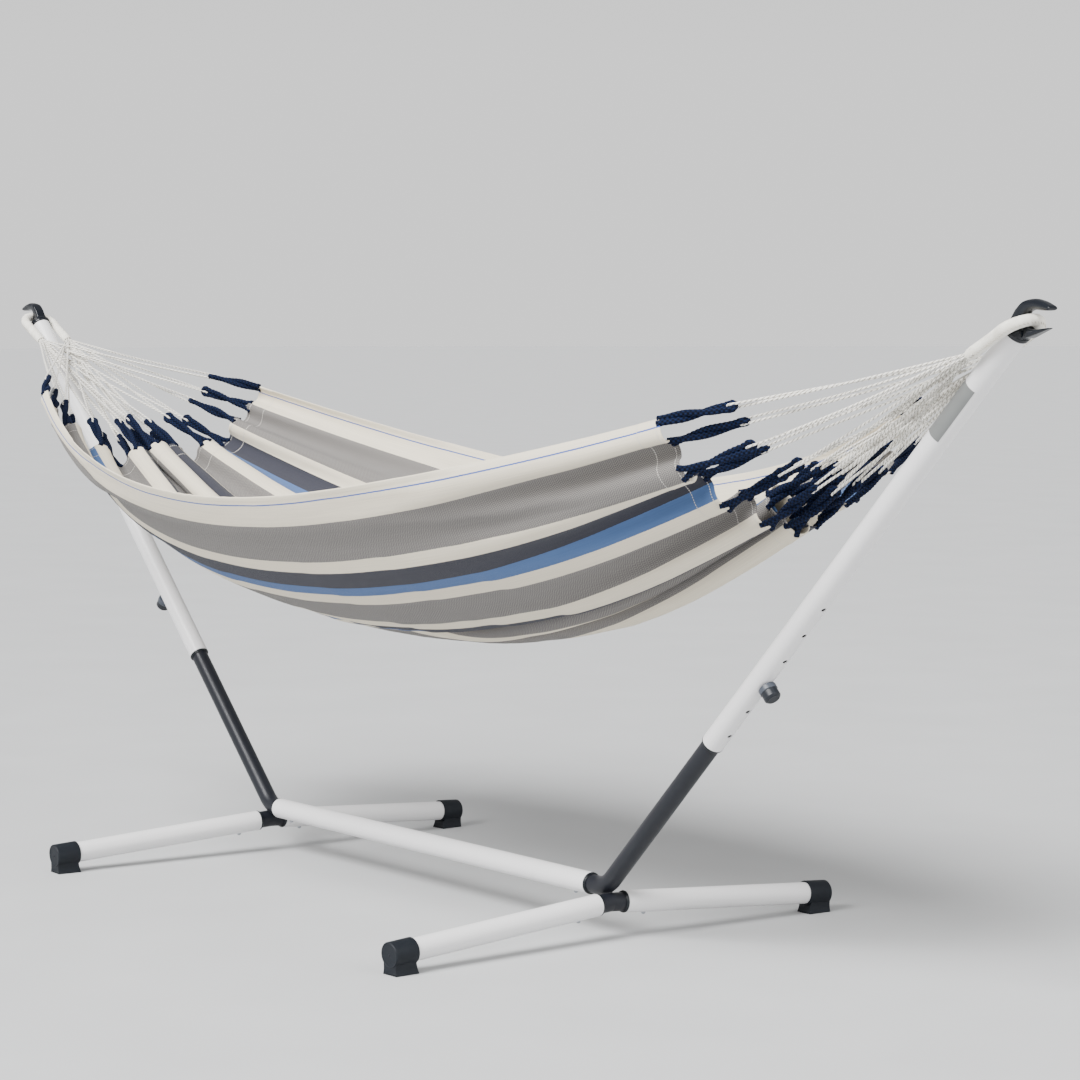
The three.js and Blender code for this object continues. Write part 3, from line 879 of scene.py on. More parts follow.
def foot_pad(start, end):
    """The block under the cap: flared, level on the floor, with round notches in its sole."""
    half, top_half, top = PAD_WIDTH / 2, PAD_WIDTH / 2 - 0.0022, -0.012
    # Levels run from 0 at the sole to 1 at the pad's top, inside the cap
    flare = [(1.0, top_half), (0.55, top_half), (0.35, top_half + 0.0005)]
    flare += [(0.15, half - 0.0007), (0.03, half), (0.0, half - 0.0005)]
    outline = [(-y, level) for level, y in flare]
    for i in range(PAD_GROOVES):
        middle = (i - (PAD_GROOVES - 1) / 2) * GROOVE_PITCH
        for turn in np.linspace(math.pi, 0, 9):
            level = GROOVE_RADIUS * math.sin(turn) / PAD_HEIGHT
            outline.append((middle + GROOVE_RADIUS * math.cos(turn), level))
    outline += [(y, level) for level, y in reversed(flare)]
    corners = []
    # Each ring's place at the sole and at the top, and its share of the full width
    stations = [(start + 0.0015, start + 0.0055, 0.96), (start + 0.0010, start + 0.0050, 1.0)]
    stations += [(end, end - 0.0010, 1.0), (end - 0.0005, end - 0.0015, 0.96)]
    for foot, head, scale in stations:
        for y, level in outline:
            along = foot + (head - foot) * level**0.6
            floor = (along * math.sin(FOOT_SLOPE) - HUB_HEIGHT) / math.cos(FOOT_SLOPE)
            corners.append((along, y * scale, floor + (top - floor) * level))
    return corners, rod_faces(len(stations), len(outline))


def merged(name, pieces):
    """Several mesh objects as one."""
    bm = bmesh.new()
    for piece in pieces:
        bm.from_mesh(piece.data)
    mesh = bpy.data.meshes.new(name)
    bm.to_mesh(mesh)
    bm.free()
    for material in pieces[0].data.materials:
        mesh.materials.append(material)
    for piece in pieces:
        bpy.data.objects.remove(piece)
    mesh.shade_smooth()
    made = bpy.data.objects.new(name, mesh)
    bpy.context.scene.collection.objects.link(made)
    return made


def make_snap_button(name, joint, matrix, material):
    """A domed pin on a wider foot, which the leaf spring holds up from inside the tubes."""
    flange, top, shoulder = 0.006, 0.0246, 0.021
    turns = np.linspace(0, math.pi / 2, 9)[:-1]
    profile = [(0.011, 0.0001), (0.011, flange), (0.0126, flange), (0.0126, BUTTON_RADIUS)]
    profile += [(shoulder + (top - shoulder) * math.sin(t), BUTTON_RADIUS * math.cos(t)) for t in turns]
    place = matrix @ Matrix.Rotation(math.pi / 2, 4, "Y")
    piece = turned_piece(name, [*profile, (top, 0.0001)], place, material, segments=32)
    settle(piece, f"button_{joint}", "bare_steel", f"snap_button_{joint}")


def make_beam(materials):
    left = -HUB_X + BEAM_END["left"] + FLANGE + GAP
    right = HUB_X - BEAM_END["right"] - FLANGE - GAP
    holes = [HUB_X - BEAM_END["right"] - BUTTON_INSET, -HUB_X + BEAM_END["left"] + BUTTON_INSET]
    place = Matrix.Translation((0, 0, BEAM_HEIGHT))
    tube = white_tube("beam_tube", left, right, place, holes, materials)
    settle(tube, "stand", "white_enamel", "beam")


def make_hub(end, materials):
    """Everything at the corner of the stand that is welded or pushed together there."""
    make_lower_arm(end, materials["dark"])
    make_cross_tube(end, materials["dark"])
    make_weld(end, materials["weld"])
    face = HUB_X - BEAM_END[end]
    place = end_turn(end) @ Matrix.Translation((face, 0, BEAM_HEIGHT)) @ Matrix.Rotation(math.pi, 4, "Z")
    ring = bushing(f"beam_flange_{end}", place, materials["flange"])
    settle(ring, "stand", "dark_plastic", f"beam_bushing_{end}")
    button_at = end_turn(end) @ Matrix.Translation((face - BUTTON_INSET, 0, BEAM_HEIGHT))
    make_snap_button(f"snap_pin_beam_{end}", f"beam_{end}", button_at, materials["steel"])


def make_foot(end, side, materials):
    name, place = foot_name(end, side), foot_frame(end, side)
    start = FOOT_START + FLANGE + GAP
    tube = white_tube(f"foot_leg_{name}", start, FOOT_END, place, [FOOT_BUTTON_AT], materials)
    settle(tube, "stand", "white_enamel", f"foot_tube_{name}")
    flange_at = place @ Matrix.Translation((FOOT_START, 0, 0))
    ring = bushing(f"foot_flange_{name}", flange_at, materials["flange"])
    settle(ring, "stand", "dark_plastic", f"foot_bushing_{name}")
    cap = make_foot_cap(f"foot_shoe_{name}", place, materials["plastic"])
    settle(cap, "stand", "dark_plastic", f"foot_cap_{name}")
    pin_at = place @ Matrix.Translation((FOOT_BUTTON_AT, 0, 0))
    make_snap_button(f"snap_pin_{name}", f"foot_{name}", pin_at, materials["steel"])


def make_upper_arm(end, materials):
    place = arm_frame(end)
    holes = [FIRST_HOLE - i * HOLE_PITCH for i in range(HOLE_COUNT)]
    tube = white_tube(f"upper_arm_tube_{end}", ARM_FOOT + FLANGE + GAP, ARM_TOP, place, holes, materials)
    settle(tube, f"arm_{end}", "white_enamel", f"upper_arm_{end}")
    ring = bushing(f"arm_flange_{end}", place @ Matrix.Translation((ARM_FOOT, 0, 0)), materials["flange"])
    settle(ring, f"arm_{end}", "dark_plastic", f"arm_bushing_{end}")


def screw_thread(tip, place):
    """A rod with one thread cut all along it, which runs out at both ends."""
    steps = np.arange(0, SCREW_LENGTH + 1e-9, THREAD_PITCH / 6)
    angle = np.linspace(0, 2 * np.pi, 24, endpoint=False)
    phase = steps[:, None] / THREAD_PITCH - angle[None, :] / (2 * np.pi)
    crest = THREAD_DEPTH * (1 - np.abs(2 * (phase - np.floor(phase)) - 1))
    taper = np.clip(np.minimum(steps, SCREW_LENGTH - steps) / 0.0012, 0, 1)[:, None]
    radii = SCREW_RADIUS - THREAD_DEPTH + crest * taper
    x = np.broadcast_to(tip + steps[:, None], radii.shape)
    thread = np.stack([x, radii * np.cos(angle), radii * np.sin(angle)], -1).reshape(-1, 3)
    return placed(thread, place), rod_faces(len(steps), len(angle))


def make_lock(end, materials):
    """The threaded pin and its knob. Both turn on a line that leaves the arm at right angles, downwards."""
    at = FIRST_HOLE - LOCKED_HOLE * HOLE_PITCH
    place = arm_frame(end) @ Matrix.Translation((at, 0, 0)) @ Matrix.Rotation(math.pi / 2, 4, "Y")
    tip = INNER_RADIUS + GAP
    screw = make_piece(f"lock_thread_{end}", *screw_thread(tip, place), materials["steel"])
    settle(screw, f"lock_screw_{end}", "bare_steel", f"lock_screw_{end}")

    foot = TUBE_RADIUS + 0.0008
    skirt = 0.009
    top = foot + KNOB_HEIGHT
    waist = KNOB_RADIUS - 0.0012
    bore = SCREW_RADIUS + GAP
    bore_end = tip + SCREW_LENGTH + GAP
    profile = [
        (bore_end, 0.0002),
        (bore_end, bore),
        (foot, bore),
        (foot, KNOB_RADIUS),
        (foot + skirt, KNOB_RADIUS),
        (foot + skirt + 0.0008, waist),
        (top - 0.0040, waist),
        (top - 0.0006, waist - 0.0030),
        (top, waist - 0.0042),
        (top - 0.0006, waist - 0.0052),
        (top - 0.0006, 0.0002),
    ]
    knob = turned_piece(f"lock_grip_{end}", rounded(profile, 0.0008), place, materials["knob"])
    knob.data.materials.append(materials["skirt"])
    back = place.inverted()
    for face in knob.data.polygons:
        face.material_index = int(-1e-4 < (back @ face.center).x - foot < skirt + 0.0004)
    settle(knob, f"lock_knob_{end}", "dark_plastic", f"lock_knob_{end}")


def hook_outline():
    """Side view of the hook, from the centre of the tube's upper end."""
    back = [(-0.008, 0.016), (0.007, 0.037), (0.024, 0.050), (0.044, 0.053), (0.062, 0.049), (0.075, 0.043)]
    outline = [back[0], *curve_through([(x, 0, z) for x, z in back[1:]], 0.003)[:, (0, 2)].tolist()]
    outline += [(0.0785, 0.0400), (0.0790, 0.0375), (0.0770, 0.0352), (0.073, 0.0342), (0.058, 0.0346)]
    for turn in np.linspace(0.36 * math.pi, 1.42 * math.pi, 26):
        outline.append((0.044 + 0.0225 * math.cos(turn), 0.0206 + 0.0154 * math.sin(turn)))
    return outline + [(0.0735, 0.0095), (0.074, 0.0080), (0.031, -0.0068), (0.017, -0.0085)]


def round_horn(points):
    """The upper prong's square section becomes an oval, all the way to its tip."""
    x, y, z = points.T
    stations = (0.024, 0.036, 0.046, 0.062, 0.074, 0.079)
    middle = np.interp(x, stations, (0.0405, 0.0435, 0.0445, 0.0420, 0.0388, 0.0380))
    tall = np.interp(x, stations, (0.0125, 0.0098, 0.0090, 0.0080, 0.0056, 0.0040))
    outside = np.maximum(np.hypot((z - middle) / tall, y / (HOOK_THICKNESS / 2)), 1)
    share = np.clip((x - 0.016) / 0.014, 0, 1) * np.clip((z - 0.024) / 0.008, 0, 1)
    scale = 1 + share * (1 / outside - 1)
    return np.stack([x, y * scale, middle + (z - middle) * scale], 1)


def fused_hook(name, tilt, material):
    """The plate of the hook and its collar with the plug, as one mesh of even small faces."""
    outline = hook_outline()
    half = HOOK_THICKNESS / 2
    vertices = [(x, y, z) for y in (half, -half) for x, z in outline]
    plate = make_piece("plate", vertices, rod_faces(2, len(outline)), material)
    plug = TUBE_RADIUS - TUBE_WALL - GAP
    profile = [(-0.035, 0.0), (-0.035, plug), (GAP, plug), (GAP, COLLAR_RADIUS), (0.0068, COLLAR_RADIUS)]
    profile += [(0.0082, COLLAR_RADIUS - 0.0012), (0.0120, 0.0175), (0.019, 0.013), (0.019, 0.0)]
    hook = merged(name, [plate, turned_piece("collar", profile, tilt, material)])
    remesh = hook.modifiers.new("fuse", "REMESH")
    remesh.mode = "VOXEL"
    remesh.voxel_size = 0.0011
    graph = bpy.context.evaluated_depsgraph_get()
    fused = bpy.data.meshes.new_from_object(hook.evaluated_get(graph))
    hook.modifiers.clear()
    hook.data = fused
    fused.materials.clear()
    fused.materials.append(material)
    return hook


def make_hook(end, materials):
    """One rounded moulding. Its lower prong thins to a beak."""
    upright = end_turn(end) @ Matrix.Translation((TOP_X, 0, TOP_Z))
    tilt = Matrix.Rotation(-ARM_ANGLE, 4, "Y")
    hook = fused_hook(f"hook_moulding_{end}", tilt, materials["gloss"])
    fused = hook.data
    points = np.empty(len(fused.vertices) * 3)
    fused.vertices.foreach_get("co", points)
    points = points.reshape(-1, 3)
    edges = np.empty(len(fused.edges) * 2, int)
    fused.edges.foreach_get("vertices", edges)
    edges = edges.reshape(-1, 2)
    degree = np.bincount(edges.ravel(), minlength=len(points))[:, None]
    off_plug = np.clip((placed(points, tilt.inverted())[:, 0] - 0.002) / 0.008, 0, 1)
    thin = np.clip((points[:, 0] - 0.045) / 0.02, 0, 1) * np.clip((0.014 - points[:, 2]) / 0.004, 0, 1)
    softness = (0.08 + 0.92 * off_plug * (1 - 0.85 * thin))[:, None] * 0.6
    points = round_horn(points)
    for _ in range(26):
        total = np.zeros_like(points)
        np.add.at(total, edges[:, 0], points[edges[:, 1]])
        np.add.at(total, edges[:, 1], points[edges[:, 0]])
        points = points + softness * (total / degree - points)
    beak = np.clip((0.016 - points[:, 2]) / 0.008, 0, 1) * np.clip((points[:, 0] - 0.022) / 0.012, 0, 1)
    taper = np.interp(points[:, 0], (0.022, 0.036, 0.074), (1.35, 1.2, 0.35))
    points[:, 1] *= 1 + beak * (taper - 1)
    fused.vertices.foreach_set("co", placed(points, upright).ravel())
    fused.shade_smooth()
    settle(hook, f"arm_{end}", "gloss_plastic", f"hook_{end}")

    turns = np.linspace(0, 2 * np.pi, 8, endpoint=False)
    bead = [(0.0066 + 0.0009 * math.cos(t), COLLAR_RADIUS - 0.0002 + 0.0007 * math.sin(t)) for t in turns]
    ring = turned_piece(f"hook_rim_{end}", bead, upright @ tilt, materials["gloss"], closed=True)
    settle(ring, f"arm_{end}", "gloss_plastic")


def make_label(materials):
    """A printed film round the side of the right arm, left blank."""
    place = arm_frame("right") @ Matrix.Translation((ARM_TOP - LABEL_START - LABEL_LENGTH, 0, 0))
    inside = TUBE_RADIUS + 0.00012
    turns = np.linspace(math.pi - LABEL_HALF_ANGLE, math.pi + LABEL_HALF_ANGLE, 24)
    x, turn = np.meshgrid(np.linspace(0, LABEL_LENGTH, 30), turns, indexing="ij")
    radii = (inside + LABEL_THICKNESS, inside)
    vertices, faces = sheet_solid(*[np.stack([x, r * np.cos(turn), r * np.sin(turn)], -1) for r in radii])
    piece = make_piece("blank_label", placed(vertices, place), faces, materials["label"])
    settle(piece, "arm_right", "grey_label", "arm_label")


def sheet_solid(top, bottom):
    """Two grids of points as the two sides of a closed thin solid. Returns vertices and faces."""
    rows, columns = top.shape[:2]
    index = np.arange(rows * columns).reshape(rows, columns)
    quads = np.stack([index[:-1, :-1], index[1:, :-1], index[1:, 1:], index[:-1, 1:]], -1).reshape(-1, 4)
    under = quads[:, ::-1] + rows * columns
    loop = np.concatenate([index[0, :-1], index[:-1, -1], index[-1, :0:-1], index[:0:-1, 0]])
    ahead = np.roll(loop, -1)
    rim = np.stack([loop, ahead, ahead + rows * columns, loop + rows * columns], -1)
    faces = np.concatenate([quads, under, rim]).tolist()
    return np.concatenate([top.reshape(-1, 3), bottom.reshape(-1, 3)]), faces


# ---------------------------------------------------------------- hammock cloth


def start_shape(rows, columns, rng):
    """Lengthwise threads in planes through the line of the hooks, and pleats between cords at the hems."""
    u = np.linspace(-1, 1, rows + 1)[:, None]
    w = np.linspace(-1, 1, columns + 1)[None, :]
    drop = BELLY_DROP - (BELLY_DROP - HEM_DROP) * u**2
    arc = 2 * HALF_OPENING * drop
    spare = np.maximum(CLOTH_WIDTH / arc, 1.0)
    cell = arc / (CORD_COUNT - 1)
    pleat = cell / np.pi * np.sqrt(2 * (spare**2 - 1)) * 0.95
    fade = np.clip((np.abs(u) - 0.35) / 0.65, 0, 1) ** 1.5
    cord = (w + 1) / 2 * (CORD_COUNT - 1)
    uneven = 1 + 0.25 * np.interp(cord, np.arange(CORD_COUNT), rng.uniform(-1, 1, CORD_COUNT))
    folds = pleat * fade * (1 - np.cos(2 * np.pi * cord)) / 2 * uneven
    drift = np.interp(w.ravel(), np.linspace(-1, 1, 9), rng.uniform(-0.6, 0.6, 9))[None, :]
    waves = 0.02 * (1 - fade) * np.sin(np.pi * (6.5 * w + drift) + 0.6 * u + 0.8)
    radius = drop + folds + waves * np.clip((1 - np.abs(w)) * 4, 0, 1)
    turn = HALF_OPENING * w * np.ones_like(u)
    x = np.broadcast_to(u * HEM_X, radius.shape)
    return np.stack([x, radius * np.sin(turn), HANG.z - radius * np.cos(turn)], -1)


def cloth_links(step_u, step_w):
    """Pairs of grid slices that a thread holds together: slice a, slice b, rest length, stiffness, kind."""
    links = []

    def threads(stride, directions, stiffness, kind):
        """Straight links that reach over stride cells, lengthwise (u) or crosswise (w)."""
        for first in range(2 * stride):
            near, far = np.s_[first : -stride : 2 * stride], np.s_[first + stride :: 2 * stride]
            if "u" in directions:
                links.append((near, far, stride * step_u, stiffness, kind))
            if "w" in directions:
                links.append((np.s_[:, near], np.s_[:, far], stride * step_w, stiffness, kind))

    threads(1, "uw", 1.0, "both")
    slant = math.hypot(step_u, step_w)
    for first in (0, 1):
        for near, far in ((np.s_[:-1], np.s_[1:]), (np.s_[1:], np.s_[:-1])):
            links.append(((np.s_[first:-1:2], near), (np.s_[first + 1 :: 2], far), slant, 0.3, "both"))
    threads(2, "uw", 0.2, "push")
    threads(4, "w", 0.08, "push")
    for stride in (3, 9, 27):
        threads(stride, "u", 1.0, "pull")
    threads(4, "w", 1.0, "pull")
    return links


def satisfy(grid, links):
    """One pass over the threads: each pair moves so that its length comes right."""
    for first, second, rest, stiffness, kind in links:
        a, b = grid[first], grid[second]
        rows, columns = min(a.shape[0], b.shape[0]), min(a.shape[1], b.shape[1])
        a, b = a[:rows, :columns], b[:rows, :columns]
        apart = b - a
        length = np.sqrt(np.einsum("ijk,ijk->ij", apart, apart))
        share = 0.5 * stiffness * (1 - rest / np.maximum(length, 1e-9))
        if kind == "pull":
            share = np.maximum(share, 0)
        elif kind == "push":
            share = np.minimum(share, 0)
        apart *= share[..., None]
        a += apart
        b -= apart


def hang_cloth(rows=110, columns=114, steps=70, passes=10):
    """The cloth as a grid of points, hung by its cords under gravity, and the grid's columns with cords."""
    rng = np.random.default_rng(4)
    start = start_shape(rows, columns, rng)
    attached = np.round(np.linspace(0, columns, CORD_COUNT)).astype(int)
    links = cloth_links(CLOTH_LENGTH / rows, CLOTH_WIDTH / columns)
    hooks = np.array([[-HANG.x, 0, HANG.z], [HANG.x, 0, HANG.z]])
    along = np.linspace(0, CLOTH_LENGTH, rows + 1)
    stretch = 1.001
    reach = np.stack([CORD_RUN + along, CORD_RUN + CLOTH_LENGTH - along]) * stretch
    w = np.abs(np.linspace(-1, 1, columns + 1))[None, :, None]
    rim_hold = 0.03 * np.clip((w - 0.5) / 0.5, 0, 1) ** 2
    tick = 1 / 60
    swinging, settling = 0.94, 0.85
    grid, speed = start.copy(), np.zeros_like(start)
    for step in range(steps):
        speed[..., 2] -= 9.81 * tick
        speed *= swinging if step < 0.7 * steps else settling
        moved = grid + tick * speed
        for _ in range(passes):
            satisfy(moved, links)
            for hook, row in zip(hooks, (0, rows)):
                cord = moved[row, attached] - hook
                length = np.linalg.norm(cord, axis=1)
                moved[row, attached] = hook + cord * np.minimum(CORD_RUN / length, 1)[:, None]
            for hook, limit in zip(hooks, reach):
                line = moved - hook
                length = np.linalg.norm(line, axis=2)
                moved[:] = hook + line * np.minimum(limit[:, None] / length, 1)[..., None]
            moved += rim_hold * (start - moved)
        speed = (moved - grid) / tick
        grid = moved
    return grid, attached


def softened(grid, passes=2):
    """Takes the finest roughness out of the inner points."""
    for _ in range(passes):
        inner = grid[1:-1, 1:-1]
        mean = (grid[:-2, 1:-1] + grid[2:, 1:-1] + grid[1:-1, :-2] + grid[1:-1, 2:]) / 4
        grid = grid.copy()
        grid[1:-1, 1:-1] = inner + 0.5 * (mean - inner)
    return grid


# Distances from the cloth's edges, close together beside a fold or a row of stitches
HEM_STATIONS = (
    *(0.0, 0.0012, 0.003, 0.0055, 0.0070, 0.0080, 0.0090, 0.0105, 0.016, 0.024, 0.034),
    *(0.0415, 0.0435, 0.0445, 0.0455, 0.0475, 0.052),
)
RIM_STATIONS = (0.0, 0.001, 0.0025, 0.005, 0.008, 0.0095, 0.0105, 0.012)


def edge_stations(length, near_edge, step):
    """Distances along the cloth, close together in the sewn bands at both of its edges."""
    inner = np.arange(near_edge[-1] + step, length / 2, step)
    half = np.concatenate([near_edge, inner])
    return np.concatenate([half, (length - half)[::-1]])


def band_thickness(from_end, from_rim):
    """Double at the hems, firmer at the selvedges, and pulled in along each row of stitches."""
    hem = 0.0017 * (1 - np.tanh((from_end - HEM_WIDTH) / 0.0012)) / 2
    pulled = sum(0.0012 * np.exp(-(((from_end - row) / 0.0009) ** 2)) for row in STITCH_ROWS)
    selvedge = 0.0008 * (1 - np.tanh((from_rim - SELVEDGE) / 0.0008)) / 2
    edge = np.minimum(np.clip(from_end / 0.003, 0, 1), np.clip(from_rim / 0.0025, 0, 1))
    return (CLOTH_THICKNESS + hem + selvedge - pulled) * (0.45 + 0.55 * np.sqrt(edge))


def make_cloth(materials):
    """The cloth with its tag. Returns its piece, the coarse grid and the grid's columns with cords."""
    grid, attached = hang_cloth()
    grid = softened(grid)
    along = edge_stations(CLOTH_LENGTH, HEM_STATIONS, 0.0105)
    across = edge_stations(CLOTH_WIDTH, RIM_STATIONS, 0.0060)
    rows, columns = np.array(grid.shape[:2]) - 1
    fine = resampled(grid, along / CLOTH_LENGTH * rows)
    fine = resampled(fine.swapaxes(0, 1), across / CLOTH_WIDTH * columns).swapaxes(0, 1)
    normal = np.cross(np.gradient(fine, axis=0), np.gradient(fine, axis=1))
    normal /= np.linalg.norm(normal, axis=2)[..., None]
    from_end = np.minimum(along, CLOTH_LENGTH - along)[:, None]
    from_rim = np.minimum(across, CLOTH_WIDTH - across)[None, :]
    lift = normal * (band_thickness(from_end, from_rim) / 2)[..., None]
    vertices, faces = sheet_solid(fine + lift, fine - lift)
    flat = np.stack(np.meshgrid(along, across - CLOTH_WIDTH / 2, indexing="ij"), -1).reshape(-1, 2)
    cloth = make_piece("cloth", vertices, faces, materials["cloth"], sharp=0, uv=np.concatenate([flat, flat]))
    settle(cloth, "hammock", "striped_cloth", "hammock_cloth")
    make_tag(grid, materials)
    return cloth, grid, attached


def make_tag(grid, materials):
    """A small blank flag, folded double and sewn into the rim near the left end."""
    row = round(0.025 * (len(grid) - 1))
    rim, inside = grid[row, 0], grid[row, 3]
    along = grid[row + 2, 0] - grid[row - 2, 0]
    along /= np.linalg.norm(along)
    out = rim - inside
    out -= along * (out @ along)
    out /= np.linalg.norm(out)
    up = np.cross(along, out)
    length, reach, sewn_in, fold = 0.026, 0.020, 0.004, 0.0008
    a, b = np.linspace(-length / 2, length / 2, 14)[:, None], np.linspace(-sewn_in, reach, 14)[None]
    droop = 0.0006 * np.sin(a / length * 5) - 0.0035 * (np.clip(b, 0, None) / reach) ** 2
    middle = rim + a[..., None] * along + b[..., None] * out + droop[..., None] * up
    half = fold * (0.25 + 0.75 * np.clip((reach - b) / 0.003, 0, 1))[..., None] * up
    vertices, faces = sheet_solid(middle + half, middle - half)
    tag = make_piece("blank_tag", vertices, faces, materials["tag"])
    settle(tag, "hammock", "black_tag", "side_tag")


# ---------------------------------------------------------------- rope loops and cords


def loop_point(end, reach, y):
    """A point on the plane of the rope loop: reach from the hook's seat towards the cloth, and y sideways."""
    point = HANG + Vector((-reach * math.cos(CORD_ANGLE), y, -reach * math.sin(CORD_ANGLE)))
    return np.array(end_turn(end) @ point)


def bezier(p0, p1, p2, p3, count):
    """Points along a cubic curve from p0 to p3, pulled towards p1 and p2."""
    t = np.linspace(0, 1, count)[:, None]
    return (1 - t) ** 3 * p0 + 3 * (1 - t) ** 2 * t * p1 + 3 * (1 - t) * t**2 * p2 + t**3 * p3


def loop_path(end):
    """Up one leg from its mouth, round the hook's seat, and down the other leg."""
    half = LOOP_HALF_WIDTH
    near = (1 - QUARTER_PULL) * half
    mouth = LOOP_LENGTH - 0.001

    def at(reach, y):
        return loop_point(end, reach, y)

    leg = np.linspace(at(mouth, -half), at(half, -half), 30)
    first = bezier(at(half, -half), at(near, -half), at(0, -QUARTER_PULL * half), at(0, 0), 26)
    second = bezier(at(0, 0), at(0, QUARTER_PULL * half), at(near, half), at(half, half), 26)
    other = np.linspace(at(half, half), at(mouth, half), 30)
    return np.concatenate([leg, first[1:], second[1:], other[1:]])


def make_rope_loop(end, materials):
    """A canvas sleeve over the bundled cords, sewn along its outer side, with turned-in mouths."""
    path = curve_through(loop_path(end), 0.0022)
    along = distances(path)
    length = along[-1]
    from_mouth = np.minimum(along, length - along)
    wrinkle = 0.00025 * np.sin(along * 620) * np.exp(-(((along - length / 2) / 0.03) ** 2))
    radius = ROPE_RADIUS - 0.0004 + 0.0003 * np.sin(along * 90) + wrinkle
    radius = radius - 0.0012 * np.exp(-((from_mouth / 0.0025) ** 2))
    seam_band = 0.0004 * np.exp(-(((from_mouth - 0.006) / 0.0012) ** 2))
    outside, _, uv = swept(path, radius - seam_band, SLEEVE_SIDES)
    rings = outside.reshape(-1, SLEEVE_SIDES, 3)
    first, last = rings[0] - path[0], rings[-1] - path[-1]
    near = [path[4] + 0.78 * first, path[0] + 0.86 * first]
    far = [path[-1] + 0.86 * last, path[-5] + 0.78 * last]
    vertices = np.concatenate([*near, outside, *far])
    uv = np.concatenate([*[uv[:SLEEVE_SIDES]] * 2, uv, *[uv[-SLEEVE_SIDES:]] * 2])
    faces = rod_faces(len(path) + 4, SLEEVE_SIDES)
    sleeve = cleaned(make_piece(f"rope_sleeve_{end}", vertices, faces, materials["sleeve"], uv=uv))
    settle(sleeve, f"arm_{end}", "cream_cord", f"rope_loop_{end}")
    make_sleeve_stitches(end, path, along, materials)


def make_sleeve_stitches(end, path, along, materials):
    """A row of slanting stitches along the outer side of the sleeve."""
    across = (0, 1, 0) if end == "right" else (0, -1, 0)
    plane = np.cross(loop_point(end, 1, 0) - loop_point(end, 0, 0), across)
    plane /= np.linalg.norm(plane)
    parts = []
    for place in np.arange(0.0085, along[-1] - 0.0075, STITCH_STEP):
        at = point_at(place, along, path)
        ahead = point_at(place + 0.001, along, path) - at
        ahead /= np.linalg.norm(ahead)
        outwards = np.cross(ahead, plane)
        if outwards @ (at - loop_point(end, LOOP_LENGTH, 0)) < 0:
            outwards = -outwards
        stitch = []
        for share in np.linspace(-1, 1, 7):
            turn = 0.9 + 0.17 * share
            lift = ROPE_RADIUS - 0.0010 + 0.0011 * math.sqrt(max(0.0, 1 - share**2))
            radial = outwards * math.cos(turn) + plane * math.sin(turn)
            stitch.append(at + ahead * 0.0019 * share + radial * lift)
        parts.append(swept(stitch, 0.00065, sides=6))
    settle(cord_bundle(f"sleeve_stitches_{end}", parts, materials["thread"]), f"arm_{end}", "cream_cord")


def across_of(direction, sideways):
    """sideways without its part along direction, and the third direction."""
    side = sideways - direction * (sideways @ direction)
    side /= np.linalg.norm(side)
    return side, np.cross(direction, side)


def navy_loop(first, second, eye, twist):
    """A doubled cord from one point of the hem to the eye and back, its two legs laid round each other."""
    middle = (first + second) / 2
    run = np.linalg.norm(eye - middle)
    along = (eye - middle) / run
    side, over = across_of(along, second - first)
    spread = np.linalg.norm(second - first) / 2
    neck, bight, pressed = 0.021, NAVY_RADIUS * 1.35, NAVY_RADIUS * 0.93
    sewn_in = 0.007
    legs = [[], []]
    for share in np.linspace(0, 1, 15):
        opening = max(0.0, 1 - share / 0.2) ** 2
        half = pressed + (spread - pressed) * opening
        turn = twist * share * share * (3 - 2 * share)
        radial = side * math.cos(turn) + over * math.sin(turn)
        reach = share * (run - neck + sewn_in) - sewn_in
        for leg, sign in zip(legs, (-1, 1)):
            leg.append(middle + along * reach + radial * half * sign)
    eye_sides = [eye - along * bight + radial * bight * sign for sign in (-1, 1)]
    points = [*legs[0], eye_sides[0], eye - along * 0.2 * bight, eye_sides[1], *legs[1][::-1]]
    return curve_through(points, 0.0019), along, radial


def pale_cord(eye, along, over, mouths, down, root_depth, rng):
    """From deep in one mouth of the rope loop, through the eye of a dark loop, into the other mouth."""
    knot = eye - along * (2.6 * NAVY_RADIUS)
    halves = []
    for mouth, flip in zip(mouths, (-1, 1)):
        near = eye + along * 0.012 + over * 0.0042 * flip
        slack = (mouth + near) / 2 - (0, 0, rng.uniform(0.001, 0.006))
        at_knot = knot + along * 0.002 + over * 0.0040 * flip
        halves.append([mouth - down * root_depth, mouth + down * 0.002, slack, near, at_knot])
    return curve_through([*halves[0], knot - along * 0.0006, *halves[1][::-1]], 0.0035)


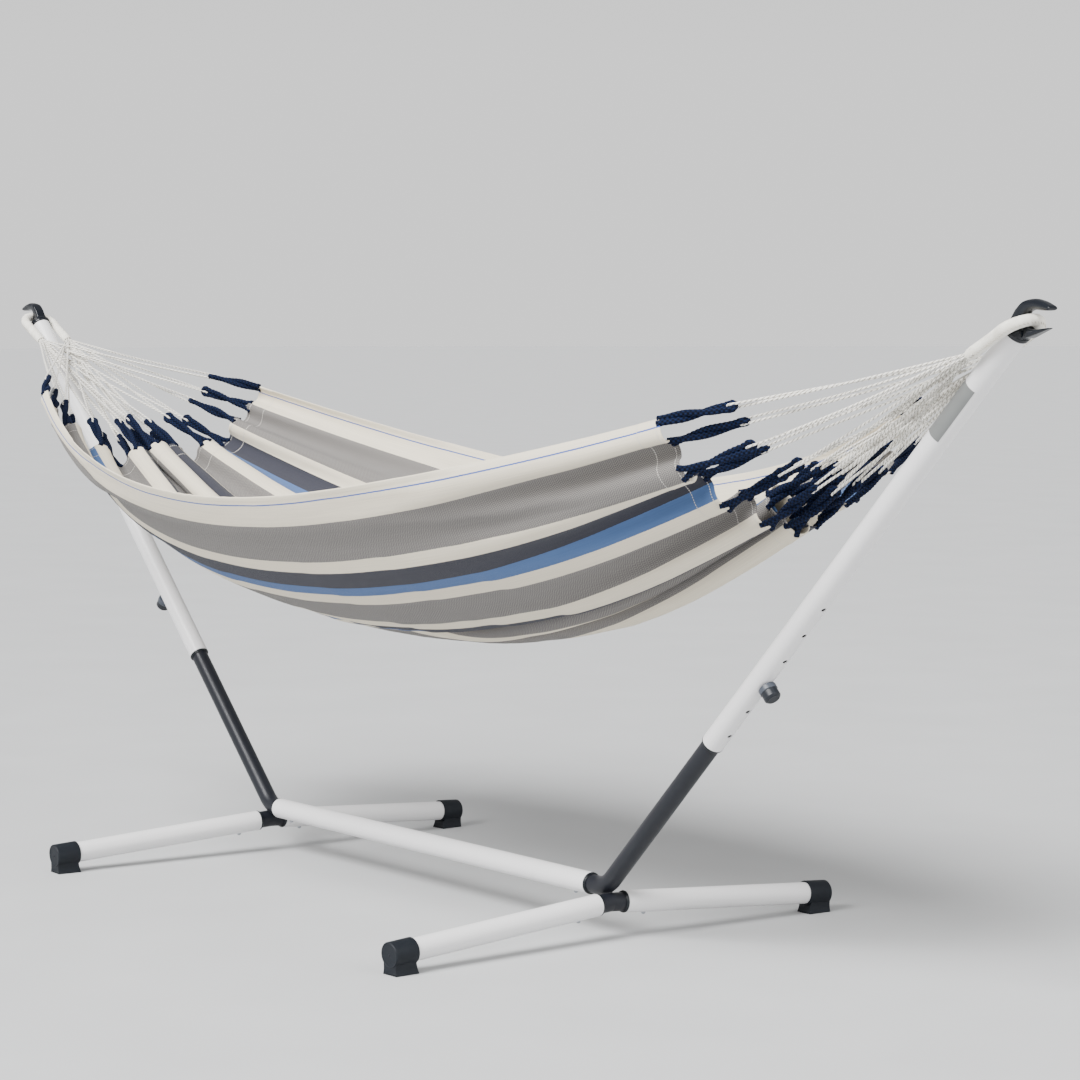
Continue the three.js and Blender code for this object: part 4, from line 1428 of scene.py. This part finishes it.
def make_cords(end, grid, attached, materials):
    """The dark loops at the hem, and the pale cords: their roots at the rope loop and the fan between."""
    rng = np.random.default_rng(11 if end == "right" else 12)
    hem = grid[-1 if end == "right" else 0]
    legs = [loop_point(end, LOOP_LENGTH - 0.004, side * LOOP_HALF_WIDTH) for side in (-1, 1)]
    gathered = (legs[0] + legs[1]) / 2
    down = loop_point(end, 1, 0) - loop_point(end, 0, 0)
    upright = np.cross(down, (0, 1, 0))
    # The left roots swing with the cords, so they reach less far into the sleeve
    root_depth = 0.010 if end == "right" else 0.002
    navy, roots, strands, nearest = [], [], [], []
    columns = grid.shape[1] - 1
    golden = math.pi * (3 - math.sqrt(5))
    order = rng.permutation(CORD_COUNT)
    for index, column in enumerate(attached):
        first, second = hem[max(column - 1, 0)], hem[min(column + 1, columns)]
        middle = (first + second) / 2
        aim = (gathered - middle) / np.linalg.norm(gathered - middle)
        eye = middle + aim * (NAVY_RUN + rng.uniform(-0.006, 0.006))
        loop, along, side = navy_loop(first, second, eye, math.pi * rng.uniform(0.7, 1.2))
        navy.append(swept(loop, NAVY_RADIUS, sides=20, relief=0.13))
        out, turn = BUNDLE_RADIUS * math.sqrt((order[index] + 0.5) / CORD_COUNT), order[index] * golden
        offset = out * (math.cos(turn) * np.array((0, 1, 0)) + math.sin(turn) * upright)
        mouths = [leg + offset for leg in legs]
        whole = pale_cord(eye, along, np.cross(along, side), mouths, down, root_depth, rng)
        nearest.append((eye - gathered) @ down)
        past = (whole - gathered) @ down
        inner = np.flatnonzero(past > ROOT_RUN[end])
        a, b = inner[0], inner[-1]
        radii = STRAND_RADIUS * np.clip(0.62 + 0.38 * past / 0.06, 0.62, 1.0)
        roots.append(cord_piece(whole[: a + 1], radii[: a + 1], rng))
        roots.append(cord_piece(whole[b:], radii[b:], rng))
        strands.append(cord_piece(whole[a : b + 1], radii[a : b + 1], rng))
    hem_loops = cord_bundle(f"navy_loops_{end}", navy, materials["navy"])
    settle(hem_loops, "hammock", "navy_cord", f"navy_cords_{end}")
    fan = cord_bundle(f"cord_fan_{end}", strands, materials["cream"])
    settle(fan, None, "cream_cord", f"cream_cords_{end}")
    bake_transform(fan)
    root = cord_bundle(f"cord_roots_{end}", roots, materials["cream"])
    settle(root, None, "cream_cord")
    if end == "right":
        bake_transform(root)
    else:
        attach(root, "cords_left")


def cord_piece(path, radii, rng):
    """A pale two-ply cord. Its twist starts at a place of its own."""
    vertices, faces, uv = swept(path, radii, sides=8)
    uv = uv + np.array([rng.uniform(0, 0.01), 0])
    return vertices, faces, uv


# ---------------------------------------------------------------- the whole

make_camera()
materials = make_materials()
make_studio()

cloth, cloth_grid, cord_columns = make_cloth(materials)
for end in ENDS:
    make_cords(end, cloth_grid, cord_columns, materials)
    make_rope_loop(end, materials)

make_beam(materials)
make_label(materials)
for end in ENDS:
    make_hub(end, materials)
    make_upper_arm(end, materials)
    make_lock(end, materials)
    make_hook(end, materials)
    for side in (-1, 1):
        make_foot(end, side, materials)
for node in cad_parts:
    if node.startswith("snap_spring"):
        finish_cad_node(node, materials["steel"])
